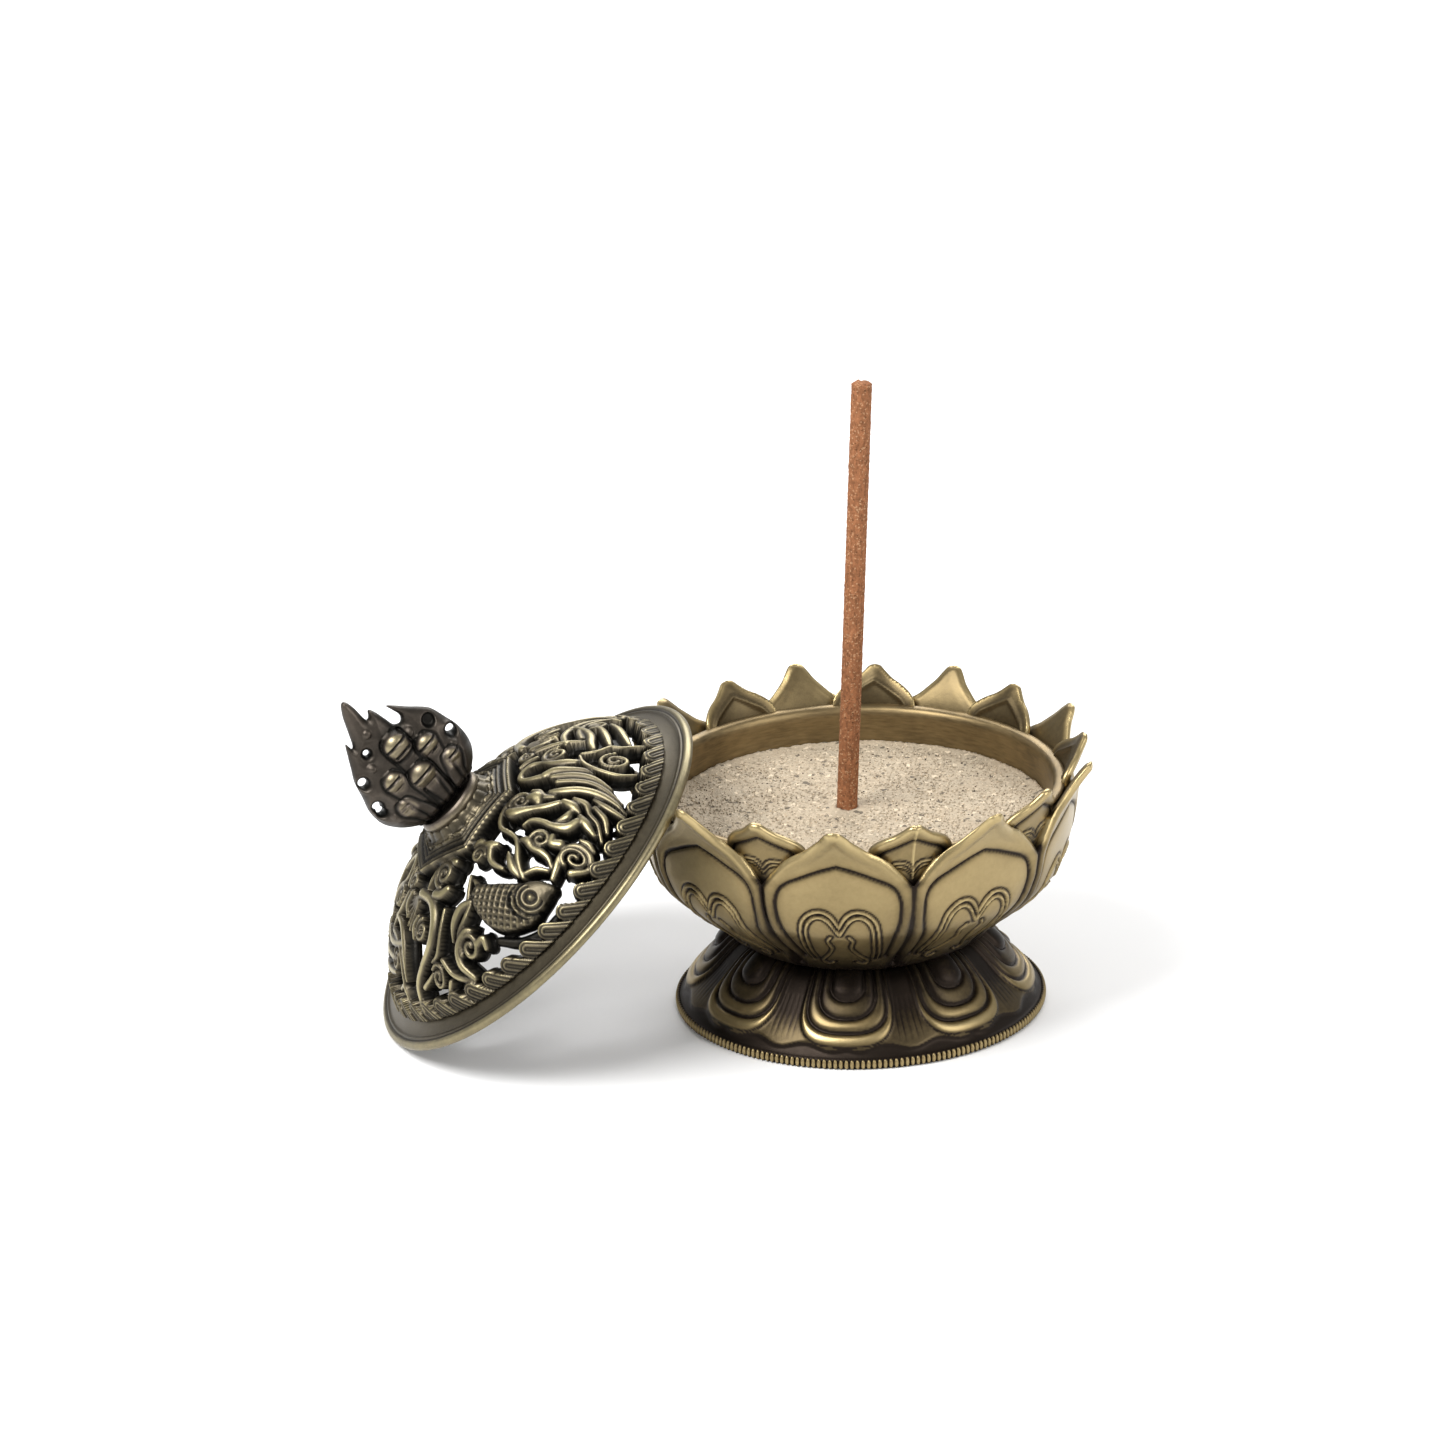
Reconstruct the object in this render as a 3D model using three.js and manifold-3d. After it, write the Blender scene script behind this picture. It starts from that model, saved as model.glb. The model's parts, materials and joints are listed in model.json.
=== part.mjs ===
// Lotus incense burner: a cast bowl with a crown of petals on a screwed-on foot, a pressed liner cup filled
// with sand, a stick of incense standing in the sand, and an openwork lid with a flaming-jewel finial, taken
// off and leaned against the bowl. Millimetres, +Z up. The bowl's axis is the Z axis until the last lines,
// which move the whole object so that the middle of its base is the origin.

import * as THREE from "three";
import { mergeVertices } from "three/addons/utils/BufferGeometryUtils.js";
import Module from "manifold-3d";

const wasm = await Module();
wasm.setup();

// ---------------------------------------------------------------- driving dimensions

const ROUND = 40; // facets round a large turned shape
const SMALL_ROUND = 16; // facets round a fastener or the stick
const SEAT_GAP = 0.3; // between two pieces that rest on each other

const FOOT_RADIUS = 32; // to the outside of the beaded edge
const FOOT_HEIGHT = 13.2; // table to the seat under the bowl
const FOOT_SEAT_RADIUS = 17.5;
const FOOT_WALL = 2;
const FOOT_RIM_WIDTH = 3; // the flat ring that stands on the table

const BOWL_HEIGHT = 26.3; // foot seat to the ledge that the liner hangs on
const BOWL_BASE_RADIUS = 19.8;
const BOWL_FLARE = 1.7; // the ledge lies this far outside the belly
const BOWL_WALL = 1.8;
const BOWL_FLOOR = 2.2;

const PETAL_COUNT = 9; // in each of the two rows
const PETAL_TURN = -6.7; // degrees, first outer petal, measured from the front (-Y) towards +X
const PETAL_THICKNESS = 1.55;
// How far a petal goes above and outside the ledge, and how wide its foot and its waist are in degrees.
const OUTER_PETAL = { rise: 6.4, flare: 4.4, span: 40, waist: 22 };
const INNER_PETAL = { rise: 4.5, flare: 4.8, span: 36, waist: 15.5 };

const LINER_RADIUS = 35.8; // to the outside of its lip
const LINER_WALL = 0.9;
const LINER_LIP = 1.2; // how far the lip reaches beyond the cup's side
const LINER_LIP_HEIGHT = 0.9;
const LINER_CLEARANCE = 0.4; // between the cup and the inside of the shell
const LIP_GROOVE = 0.35; // between the lip and the backs of the petals
const LINER_STANDOFF = 1.1; // from the end of the foot screw up to the liner's floor
const SAND_FREEBOARD = 6.2; // lip to the sand

const STICK_DIAMETER = 3.5;
const STICK_VISIBLE = 76.6;
const STICK_STANDOFF = 1.9; // from the liner's floor up to the end of the stick
const STICK_LEAN = 3.1; // degrees from upright, towards +X
const STICK_FOOT = { x: -1.6, y: 1.6 }; // where its axis meets the sand
const STICK_HOLE_CLEARANCE = 0.3;

const LID_RADIUS = 37.1;
const RIM_BAND = 5.2; // width of the plain band outside the dome
const RIM_HEIGHT = 2.5; // rim plane to the foot of the dome
const LID_HEIGHT = 18; // rim plane to the crown of the dome
const LID_WALL = 1.3;
const RIM_EDGE = 1.8; // width of the solid edge round the rim
const CROWN_PAD = 0.7; // extra metal under the crown, where the washer sits flat
const DOME_SINK = 6.25; // the dome is part of an ellipse whose middle lies this far under the rim plane
const COLLAR_RADIUS = 12.6; // to the corners of the six-sided collar
const COLLAR_RAISE = 0.6; // its top above the crown
const BOSS = { radius: 6.5, height: 1.6 }; // under the finial
const COLLAR_TURN = 42.5; // degrees, one of its corners, from -Y towards +X
const VENT_ROWS = [
  { count: 12, inset: 4.9, size: 2.9, turn: 0 }, // inset from the foot of the dome
  { count: 12, inset: 12.3, size: 2.1, turn: 15 },
];

// The lid leans with one side of its rim on the table and its open side over the petals.
const LID_HEADING = 188.6; // degrees, the way its top points, from +X
const LID_SPIN = -171.8; // degrees, how far it is turned about its own axis
const LEAN_INSET = 13.8; // in from the upper side of its rim, it is above the bowl's ledge
const LEAN_REST = 2.1; // its rim plane is at least this far above the ledge there
const LEAN_STEP = 0.25; // it leans this much higher at a time until it clears the petals
const LEAN_SIDESTEP = -4.6; // sideways from the bowl's axis

const FINIAL_COLLAR = { radius: 6.1, height: 1.8 };
const FINIAL_NECK_RADIUS = 5.6;
const FINIAL_HEIGHT = 24.9; // neck to the highest flame
const FINIAL_WIDTH = 21; // across the flames
const FINIAL_PLATE = 3.4; // thickness of the flames
const JEWEL_RADIUS = 2.3;

const FOOT_SCREW = { radius: 2, head: 3.8, headHeight: 2.4, nutAcross: 7, nutHeight: 2.6, washer: 4.5 };
const FINIAL_SCREW = { radius: 1.5, head: 2.8, headHeight: 1.8, washer: 3.5, grip: 5 };
const WASHER_HEIGHT = 0.6;
const SCREW_CLEARANCE = 0.25; // round a shank
const SOCKET_CLEARANCE = 0.5; // beyond the end of a shank
const SCREW_END = 0.4; // shows above the nut

// ---------------------------------------------------------------- heights that follow from them

const CUP_RADIUS = LINER_RADIUS - LINER_LIP;
const LEDGE_RADIUS = LINER_RADIUS + LIP_GROOVE + PETAL_THICKNESS;
const BELLY_RADIUS = LEDGE_RADIUS - BOWL_FLARE;
const BOWL_BOTTOM = FOOT_HEIGHT + SEAT_GAP;
const BOWL_INSIDE = BOWL_BOTTOM + BOWL_FLOOR;
const LEDGE = FOOT_HEIGHT + BOWL_HEIGHT;
const LINER_TOP = LEDGE + SEAT_GAP + LINER_LIP_HEIGHT;
const NUT_SEAT = BOWL_INSIDE + SEAT_GAP;
const FOOT_SCREW_TOP = NUT_SEAT + FOOT_SCREW.nutHeight + SCREW_END;
const LINER_BOTTOM = FOOT_SCREW_TOP + LINER_STANDOFF;
const SAND_TOP = LINER_TOP - SAND_FREEBOARD;
const STICK_BURIED = SAND_TOP - LINER_BOTTOM - LINER_WALL - STICK_STANDOFF;
const DOME_RADIUS = LID_RADIUS - RIM_BAND;
const COLLAR_TOP = LID_HEIGHT + COLLAR_RAISE;
const BOSS_TOP = COLLAR_TOP + BOSS.height;
const FINIAL_BASE = BOSS_TOP + FINIAL_COLLAR.height + 2 * SEAT_GAP;
const LEAN_REACH = LID_RADIUS - LEAN_INSET;

// ---------------------------------------------------------------- tools

const radians = THREE.MathUtils.degToRad;

// A turned shape about +Z from [radius, height] points. They run anticlockwise round the section.
function turned(points, segments = ROUND) {
  const profile = points.map(([r, z]) => new THREE.Vector2(r, z));
  const onAxis = points[0][0] === 0 && points.at(-1)[0] === 0;
  if (!onAxis) profile.push(profile[0].clone());
  return new THREE.LatheGeometry(profile, segments).rotateX(Math.PI / 2);
}

function cylinder(radius, low, high, sides = SMALL_ROUND) {
  return new THREE.CylinderGeometry(radius, radius, high - low, sides)
    .rotateX(Math.PI / 2)
    .translate(0, 0, (low + high) / 2);
}

function toSolid(geometry) {
  const bare = geometry.clone().deleteAttribute("normal").deleteAttribute("uv");
  const merged = mergeVertices(bare, 1e-4);
  return new wasm.Manifold(
    new wasm.Mesh({
      numProp: 3,
      vertProperties: merged.attributes.position.array,
      triVerts: new Uint32Array(merged.index.array),
    }),
  );
}

function toGeometry(solid) {
  const mesh = solid.getMesh();
  const geometry = new THREE.BufferGeometry();
  geometry.setAttribute("position", new THREE.BufferAttribute(mesh.vertProperties, 3));
  geometry.setIndex(new THREE.BufferAttribute(mesh.triVerts, 1));
  geometry.computeVertexNormals();
  return geometry;
}

const joined = (geometries) => geometries.map(toSolid).reduce((whole, next) => whole.add(next));
const cutBy = (solid, cutters) => cutters.map(toSolid).reduce((whole, cut) => whole.subtract(cut), solid);

// The radius at a height on a list of [radius, height] points.
function radiusAt(points, height) {
  const i = points.findIndex(([, z]) => z >= height);
  if (i <= 0) return points[i === 0 ? 0 : points.length - 1][0];
  const [[r0, z0], [r1, z1]] = [points[i - 1], points[i]];
  return THREE.MathUtils.mapLinear(height, z0, z1, r0, r1);
}

// The same curve moved inwards, square to itself, for the other face of a wall.
function movedIn(points, wall) {
  return points.map(([r, z], i) => {
    const [r0, z0] = points[Math.max(i - 1, 0)];
    const [r1, z1] = points[Math.min(i + 1, points.length - 1)];
    const length = Math.hypot(r1 - r0, z1 - z0);
    return [r - (wall * (z1 - z0)) / length, z + (wall * (r1 - r0)) / length];
  });
}

function piece(name, geometry, finish) {
  const mesh = new THREE.Mesh(geometry, new THREE.MeshStandardMaterial(finish));
  mesh.name = name;
  return mesh;
}

// ---------------------------------------------------------------- finishes

const ANTIQUE_BRASS = { color: 0x9c8650, roughness: 0.42, metalness: 0.85 };
const DARK_BRONZE = { color: 0x5a5440, roughness: 0.45, metalness: 0.85 };
const FINIAL_BRONZE = { color: 0x5c5045, roughness: 0.45, metalness: 0.8 };
const INNER_BRASS = { color: 0x8a6a38, roughness: 0.5, metalness: 0.8 };
const SAND = { color: 0xc4b196, roughness: 1, metalness: 0 };
const INCENSE = { color: 0x9a5a34, roughness: 0.95, metalness: 0 };
const STEEL = { color: 0x9a9a98, roughness: 0.4, metalness: 1 };

// ---------------------------------------------------------------- foot

// The cast foot: a low dome, hollow beneath, with a flat seat on top.
function foot() {
  const shoulder = FOOT_RADIUS - FOOT_SEAT_RADIUS;
  const slope = [
    [0.02, 0.1],
    [0.14, 0.3],
    [0.3, 0.49],
    [0.47, 0.68],
    [0.64, 0.88],
    [0.83, 0.97],
  ];
  const outside = slope.map(([inward, up]) => [FOOT_RADIUS - inward * shoulder, up * FOOT_HEIGHT]);
  const innerSlope = outside.slice(1, -1).map(([r, z]) => [r - FOOT_WALL, z - FOOT_WALL * 0.7]);
  const ceiling = FOOT_HEIGHT - FOOT_WALL;
  const hole = FOOT_SCREW.radius + SCREW_CLEARANCE;
  return turned([
    [FOOT_RADIUS - FOOT_RIM_WIDTH, 0],
    [FOOT_RADIUS - 0.5, 0],
    [FOOT_RADIUS, 0.5],
    ...outside,
    [FOOT_SEAT_RADIUS, FOOT_HEIGHT],
    [hole, FOOT_HEIGHT],
    [hole, ceiling],
    [FOOT_SEAT_RADIUS, ceiling],
    ...innerSlope.reverse(),
  ]);
}

// ---------------------------------------------------------------- bowl

// The outside of the shell from its floor to its ledge: a flat dish, a quick turn, then a nearly upright
// side.
function shellOutside() {
  const reach = BELLY_RADIUS - BOWL_BASE_RADIUS;
  const height = LEDGE - BOWL_BOTTOM;
  const dish = [
    [0, 0],
    [0.12, 0.04],
    [0.23, 0.1],
    [0.38, 0.19],
    [0.56, 0.27],
    [0.75, 0.37],
    [0.92, 0.48],
    [1, 0.63],
  ];
  return [
    ...dish.map(([out, up]) => [BOWL_BASE_RADIUS + out * reach, BOWL_BOTTOM + up * height]),
    [BELLY_RADIUS + 0.4 * BOWL_FLARE, BOWL_BOTTOM + 0.82 * height],
    [LEDGE_RADIUS, LEDGE],
  ];
}

// The inside of the shell's wall, or a curve a further gap inside it. Near the ledge the wall is thicker.
function shellInside(gap = 0) {
  const widest = CUP_RADIUS + LINER_CLEARANCE - gap;
  const curve = movedIn(shellOutside(), BOWL_WALL + gap).map(([r, z]) => [Math.min(r, widest), z]);
  curve.at(-1)[1] = LEDGE;
  return curve;
}

// One petal of the crown, bent round the shell. Its half width shrinks to a point through an ogee.
function petal({ rise, flare, span, waist }, turn) {
  const outline = new THREE.CatmullRomCurve3(
    [
      [1, 0],
      [1, 0.3],
      [waist / span, 0.52],
      [(0.8 * waist) / span, 0.66],
      [(0.4 * waist) / span, 0.84],
      [(0.12 * waist) / span, 1],
    ].map(([half, up]) => new THREE.Vector3(half, up, 0)),
  );
  const across = 4;
  const along = 8;
  const slab = new THREE.BoxGeometry(2, 1, 1, across, along, 1);
  const position = slab.attributes.position;
  const base = LEDGE - rise;
  for (let i = 0; i < position.count; i += 1) {
    const up = position.getY(i) + 0.5;
    const { x: half } = outline.getPoint(up);
    const height = base + 2 * rise * up;
    const lean = up > 0.5 ? flare * (2 * up - 1) ** 1.3 : 0;
    const outside = radiusAt(shellOutside(), Math.min(height, LEDGE)) + lean;
    const radius = outside - PETAL_THICKNESS * (0.5 - position.getZ(i));
    const angle = radians(turn + (position.getX(i) * half * span) / 2);
    position.setXYZ(i, radius * Math.sin(angle), -radius * Math.cos(angle), height);
  }
  return slab;
}

// The bowl is one casting: the shell, its floor and both rows of petals.
function lotusBowl() {
  const outside = shellOutside();
  const inside = shellInside();
  const wall = inside.filter(([, z]) => z > BOWL_INSIDE);
  const hole = FOOT_SCREW.radius + SCREW_CLEARANCE;
  const shell = turned([
    [hole, BOWL_BOTTOM],
    ...outside,
    ...wall.reverse(),
    [radiusAt(inside, BOWL_INSIDE), BOWL_INSIDE],
    [hole, BOWL_INSIDE],
  ]);
  const pitch = 360 / PETAL_COUNT;
  const crown = [];
  for (let i = 0; i < PETAL_COUNT; i += 1) {
    crown.push(petal(OUTER_PETAL, PETAL_TURN + i * pitch));
    crown.push(petal(INNER_PETAL, PETAL_TURN + (i + 0.5) * pitch));
  }
  return toGeometry(joined([shell, ...crown]));
}

// ---------------------------------------------------------------- liner, sand and stick

// The part of a rising curve above a height, with its end on that height.
function above(curve, height) {
  return [[radiusAt(curve, height), height], ...curve.filter(([, z]) => z > height)];
}

// The outside of the liner cup from its floor up to the ledge.
const linerOutside = () => above(shellInside(LINER_CLEARANCE), LINER_BOTTOM);

function linerCup() {
  const outside = linerOutside();
  const floor = LINER_BOTTOM + LINER_WALL;
  const inside = above(movedIn(outside, LINER_WALL).slice(0, -1), floor);
  const lipUnder = LINER_TOP - LINER_LIP_HEIGHT;
  return turned([
    [0, LINER_BOTTOM],
    ...outside,
    [CUP_RADIUS, lipUnder],
    [LINER_RADIUS, lipUnder],
    [LINER_RADIUS, LINER_TOP],
    [CUP_RADIUS - LINER_WALL, LINER_TOP],
    ...inside.reverse(),
    [0, floor],
  ]);
}

// A straight bar along the stick's leaning axis, measured from where that axis meets the sand.
function alongStick(radius, below, above) {
  return cylinder(radius, -below, above)
    .rotateY(radians(STICK_LEAN))
    .translate(STICK_FOOT.x, STICK_FOOT.y, SAND_TOP);
}

function sandBed() {
  const floor = LINER_BOTTOM + LINER_WALL + SEAT_GAP;
  const wall = movedIn(linerOutside(), LINER_WALL + SEAT_GAP);
  const side = above(wall, floor).filter(([, z]) => z < SAND_TOP);
  const bed = turned([[0, floor], ...side, [radiusAt(wall, SAND_TOP), SAND_TOP], [0, SAND_TOP]]);
  const deep = STICK_BURIED + STICK_HOLE_CLEARANCE;
  const hole = alongStick(STICK_DIAMETER / 2 + STICK_HOLE_CLEARANCE, deep, 2);
  return toGeometry(cutBy(toSolid(bed), [hole]));
}

const incenseStick = () => alongStick(STICK_DIAMETER / 2, STICK_BURIED, STICK_VISIBLE);

// ---------------------------------------------------------------- fasteners

// A pan-head screw that points up, with its head's upper face at `seat` and a slot in its underside.
function panScrew({ radius, head, headHeight }, seat, length) {
  const shape = turned(
    [
      [0, seat - headHeight],
      [head * 0.7, seat - headHeight],
      [head, seat - headHeight * 0.5],
      [head, seat],
      [radius, seat],
      [radius, seat + length - radius * 0.3],
      [radius * 0.7, seat + length],
      [0, seat + length],
    ],
    SMALL_ROUND,
  );
  const slotDepth = headHeight * 0.4;
  const slot = new THREE.BoxGeometry(head * 3, headHeight * 0.3, slotDepth * 2);
  slot.translate(0, 0, seat - headHeight);
  return toGeometry(cutBy(toSolid(shape), [slot]));
}

function washerFor({ radius, washer }, low) {
  const hole = radius + SCREW_CLEARANCE;
  const high = low + WASHER_HEIGHT;
  return turned(
    [
      [hole, low],
      [washer, low],
      [washer, high],
      [hole, high],
    ],
    SMALL_ROUND,
  );
}

function hexNut({ radius, nutAcross, nutHeight }, low) {
  const corner = nutAcross / 2 / Math.cos(Math.PI / 6);
  const bore = cylinder(radius + SCREW_CLEARANCE, low - 1, low + nutHeight + 1);
  return toGeometry(cutBy(toSolid(cylinder(corner, low, low + nutHeight, 6)), [bore]));
}

// ---------------------------------------------------------------- lid, in its own frame: rim plane at 0

// The outside of the dome, from the plain rim band up to its crown.
function domeOutside() {
  const rise = LID_HEIGHT + DOME_SINK;
  const start = Math.asin((RIM_HEIGHT + DOME_SINK) / rise);
  const reach = DOME_RADIUS / Math.cos(start);
  const steps = 9;
  return Array.from({ length: steps }, (_, i) => {
    const angle = THREE.MathUtils.lerp(start, Math.PI / 2, i / steps);
    return [reach * Math.cos(angle), rise * Math.sin(angle) - DOME_SINK];
  });
}

// The lid is one casting: rim, openwork dome and six-sided collar.
function lidDome() {
  const outside = domeOutside();
  const inside = movedIn(outside, LID_WALL);
  const under = LID_HEIGHT - LID_WALL - CROWN_PAD;
  const hole = FINIAL_SCREW.radius + SCREW_CLEARANCE;
  const dome = turned([
    [LID_RADIUS - RIM_EDGE, 0],
    [LID_RADIUS - 0.4, 0],
    [LID_RADIUS, 0.4],
    [LID_RADIUS - 0.2, 1.2],
    ...outside,
    [hole, LID_HEIGHT],
    [hole, under],
    [radiusAt(inside, under), under],
    ...inside.slice(1).filter(([, z]) => z < under).reverse(),
    [DOME_RADIUS - 0.4, RIM_HEIGHT - LID_WALL],
    [LID_RADIUS - RIM_EDGE - 0.4, 0.4],
  ]);
  const collarHeight = COLLAR_RAISE + 2;
  const collar = new THREE.CylinderGeometry(COLLAR_RADIUS - 0.8, COLLAR_RADIUS, collarHeight, 6)
    .rotateX(Math.PI / 2)
    .rotateZ(radians(COLLAR_TURN))
    .translate(0, 0, COLLAR_TOP - collarHeight / 2);
  const boss = cylinder(BOSS.radius, COLLAR_TOP - 1, BOSS_TOP, 24);
  const vents = VENT_ROWS.flatMap(({ count, inset, size, turn }) =>
    Array.from({ length: count }, (_, i) =>
      cylinder(size, 0, LID_HEIGHT, 10)
        .scale(1, 0.85, 1)
        .translate(DOME_RADIUS - inset, 0, LID_WALL)
        .rotateZ(radians(turn + (i * 360) / count)),
    ),
  );
  const screwHole = cylinder(hole, under - 1, BOSS_TOP + 1);
  return toGeometry(cutBy(joined([dome, collar, boss]), [...vents, screwHole]));
}

function finialCollar() {
  const { radius, height } = FINIAL_COLLAR;
  const low = BOSS_TOP + SEAT_GAP;
  const hole = FINIAL_SCREW.radius + SCREW_CLEARANCE;
  return turned(
    [
      [hole, low],
      [radius - 0.3, low],
      [radius, low + 0.3 * height],
      [radius, low + 0.7 * height],
      [radius - 0.3, low + height],
      [hole, low + height],
    ],
    24,
  );
}

// The outline of the flames as [share of the half width, share of the height], up the left side and down
// the right.
const FLAME_OUTLINE = [
  [-0.62, 0],
  [-0.87, 0.1],
  [-0.99, 0.2],
  [-0.97, 0.34],
  [-0.75, 0.57],
  [-0.4, 0.78],
  [-0.33, 0.76],
  [-0.03, 0.98],
  [0.08, 1],
  [0.1, 0.78],
  [0.22, 0.82],
  [0.35, 0.65],
  [0.5, 0.64],
  [0.48, 0.75],
  [0.85, 0.56],
  [0.96, 0.44],
  [1, 0.29],
  [0.91, 0.1],
  [0.62, 0],
];

// Where the jewels stand in front of and behind the flames, in the same shares.
const JEWELS = [
  [0.05, 0.54],
  [-0.39, 0.4],
  [0.46, 0.41],
  [0.03, 0.28],
  [-0.5, 0.22],
  [0.55, 0.21],
];

function finial() {
  const at = ([across, up]) => [(across * FINIAL_WIDTH) / 2, FINIAL_BASE + up * FINIAL_HEIGHT];
  const outline = new THREE.Shape(FLAME_OUTLINE.map((share) => new THREE.Vector2(...at(share))));
  const flames = new THREE.ExtrudeGeometry(outline, { depth: FINIAL_PLATE, bevelEnabled: false })
    .translate(0, 0, -FINIAL_PLATE / 2)
    .rotateX(Math.PI / 2);
  const bulb = turned(
    [
      [0, 0],
      [0.5, 0],
      [0.72, 0.1],
      [0.78, 0.24],
      [0.66, 0.4],
      [0.36, 0.52],
      [0, 0.56],
    ].map(([across, up]) => (across ? at([across, up]) : [0, at([0, up])[1]])),
    SMALL_ROUND,
  ).scale(1, 0.8, 1);
  const jewels = JEWELS.flatMap((share) => {
    const [x, z] = at(share);
    const depth = Math.sqrt(Math.max(0.2, 1 - (share[0] / 0.9) ** 2)) * FINIAL_PLATE;
    return [-1, 1].map((side) => new THREE.SphereGeometry(JEWEL_RADIUS, 8, 6).translate(x, side * depth, z));
  });
  const neck = cylinder(FINIAL_NECK_RADIUS, FINIAL_BASE, FINIAL_BASE + 2, SMALL_ROUND);
  const socket = cylinder(
    FINIAL_SCREW.radius + SCREW_CLEARANCE,
    FINIAL_BASE - 1,
    FINIAL_BASE + FINIAL_SCREW.grip + SOCKET_CLEARANCE,
  );
  return toGeometry(cutBy(joined([flames, bulb, neck, ...jewels]), [socket]));
}

// ---------------------------------------------------------------- assembly

function burner() {
  const group = new THREE.Group();
  const screwSeat = FOOT_HEIGHT - FOOT_WALL - WASHER_HEIGHT - 2 * SEAT_GAP;
  const screwLength = FOOT_SCREW_TOP - screwSeat;
  group.add(
    piece("foot", foot(), ANTIQUE_BRASS),
    piece("lotus_bowl", lotusBowl(), ANTIQUE_BRASS),
    piece("liner_cup", linerCup(), INNER_BRASS),
    piece("sand_bed", sandBed(), SAND),
    piece("incense_stick", incenseStick(), INCENSE),
    piece("foot_screw", panScrew(FOOT_SCREW, screwSeat, screwLength), STEEL),
    piece("foot_washer", washerFor(FOOT_SCREW, screwSeat + SEAT_GAP), STEEL),
    piece("foot_nut", hexNut(FOOT_SCREW, NUT_SEAT), STEEL),
  );
  return group;
}

// The lid leans: spun about its own axis, tilted, then turned to its heading, with its rim on the table.
function leaningLid(rest) {
  const tilt = Math.asin((LEDGE + rest) / (LID_RADIUS + LEAN_REACH));
  const screwSeat = LID_HEIGHT - LID_WALL - CROWN_PAD - WASHER_HEIGHT - 2 * SEAT_GAP;
  const screwLength = FINIAL_BASE + FINIAL_SCREW.grip - screwSeat;
  const spun = new THREE.Group();
  spun.rotation.z = radians(LID_SPIN);
  spun.add(
    piece("lid_dome", lidDome(), DARK_BRONZE),
    piece("finial_collar", finialCollar(), DARK_BRONZE),
    piece("finial", finial(), FINIAL_BRONZE),
    piece("finial_screw", panScrew(FINIAL_SCREW, screwSeat, screwLength), STEEL),
    piece("finial_washer", washerFor(FINIAL_SCREW, screwSeat + SEAT_GAP), STEEL),
  );
  const tilted = new THREE.Group();
  tilted.rotation.y = tilt;
  tilted.add(spun);
  tilted.updateMatrixWorld(true);
  const lowest = new THREE.Box3().setFromObject(tilted, true).min.z;
  tilted.position.set(LEDGE_RADIUS + LEAN_REACH * Math.cos(tilt), LEAN_SIDESTEP, -lowest);
  const headed = new THREE.Group();
  headed.rotation.z = radians(LID_HEADING);
  headed.add(tilted);
  headed.updateMatrixWorld(true);
  return headed;
}

// The gap between two placed pieces, as far as it matters here.
function gapBetween(one, other) {
  const [a, b] = [one, other].map((mesh) => toSolid(mesh.geometry.clone().applyMatrix4(mesh.matrixWorld)));
  return a.minGap(b, 1);
}

// The lid as low as it goes without touching the petals.
function lidOn(bowl) {
  let rest = LEAN_REST;
  let lid = leaningLid(rest);
  while (gapBetween(lid.getObjectByName("lid_dome"), bowl) < SEAT_GAP) {
    rest += LEAN_STEP;
    lid = leaningLid(rest);
  }
  return lid;
}

const group = new THREE.Group();
const stand = burner();
group.add(stand, lidOn(stand.getObjectByName("lotus_bowl")));
group.updateMatrixWorld(true);
const whole = new THREE.Box3().setFromObject(group, true);
const middle = whole.getCenter(new THREE.Vector3());
group.position.set(-middle.x, -middle.y, -whole.min.z);

export default group;
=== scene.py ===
"""Lotus incense burner: the finished surfaces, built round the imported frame.

Every size below is in millimetres unless a name says otherwise. Meshes are made in metres.
"""

import json
import math

import bmesh
import bpy
import numpy as np
from mathutils import Matrix, Vector


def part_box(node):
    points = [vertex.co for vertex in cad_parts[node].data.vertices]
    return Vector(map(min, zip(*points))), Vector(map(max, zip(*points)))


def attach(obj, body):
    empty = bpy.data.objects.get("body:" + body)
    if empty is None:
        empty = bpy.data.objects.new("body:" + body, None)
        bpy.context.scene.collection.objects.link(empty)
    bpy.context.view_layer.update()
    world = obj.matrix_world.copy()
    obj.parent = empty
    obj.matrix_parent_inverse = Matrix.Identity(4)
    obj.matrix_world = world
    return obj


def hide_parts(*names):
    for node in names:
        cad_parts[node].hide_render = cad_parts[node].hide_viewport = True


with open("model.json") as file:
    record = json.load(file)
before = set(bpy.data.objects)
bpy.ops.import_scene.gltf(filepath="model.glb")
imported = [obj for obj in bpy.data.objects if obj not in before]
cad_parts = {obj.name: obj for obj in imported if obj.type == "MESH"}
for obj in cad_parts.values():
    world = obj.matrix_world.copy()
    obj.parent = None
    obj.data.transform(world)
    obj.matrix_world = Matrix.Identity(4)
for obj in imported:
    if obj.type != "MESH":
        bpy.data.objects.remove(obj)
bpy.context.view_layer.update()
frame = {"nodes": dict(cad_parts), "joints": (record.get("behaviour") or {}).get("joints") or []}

bl_info = {
    "name": "Lotus incense burner",
    "version": (1, 0, 0),
    "blender": (4, 5, 0),
    "location": "View3D > Sidebar > Burner",
    "description": "Builds the cast surfaces, the sand and the studio of a lotus incense burner",
    "category": "Object",
}

MM = 0.001
TAU = 2 * math.pi

# ------------------------------------------------------------------ driving sizes of the castings

PETALS = 9
PETAL_TURN = -6.7  # degrees, first outer petal, from the front towards +X
FOOT_PETALS = 8
FOOT_PETAL_TURN = -6.6

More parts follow.
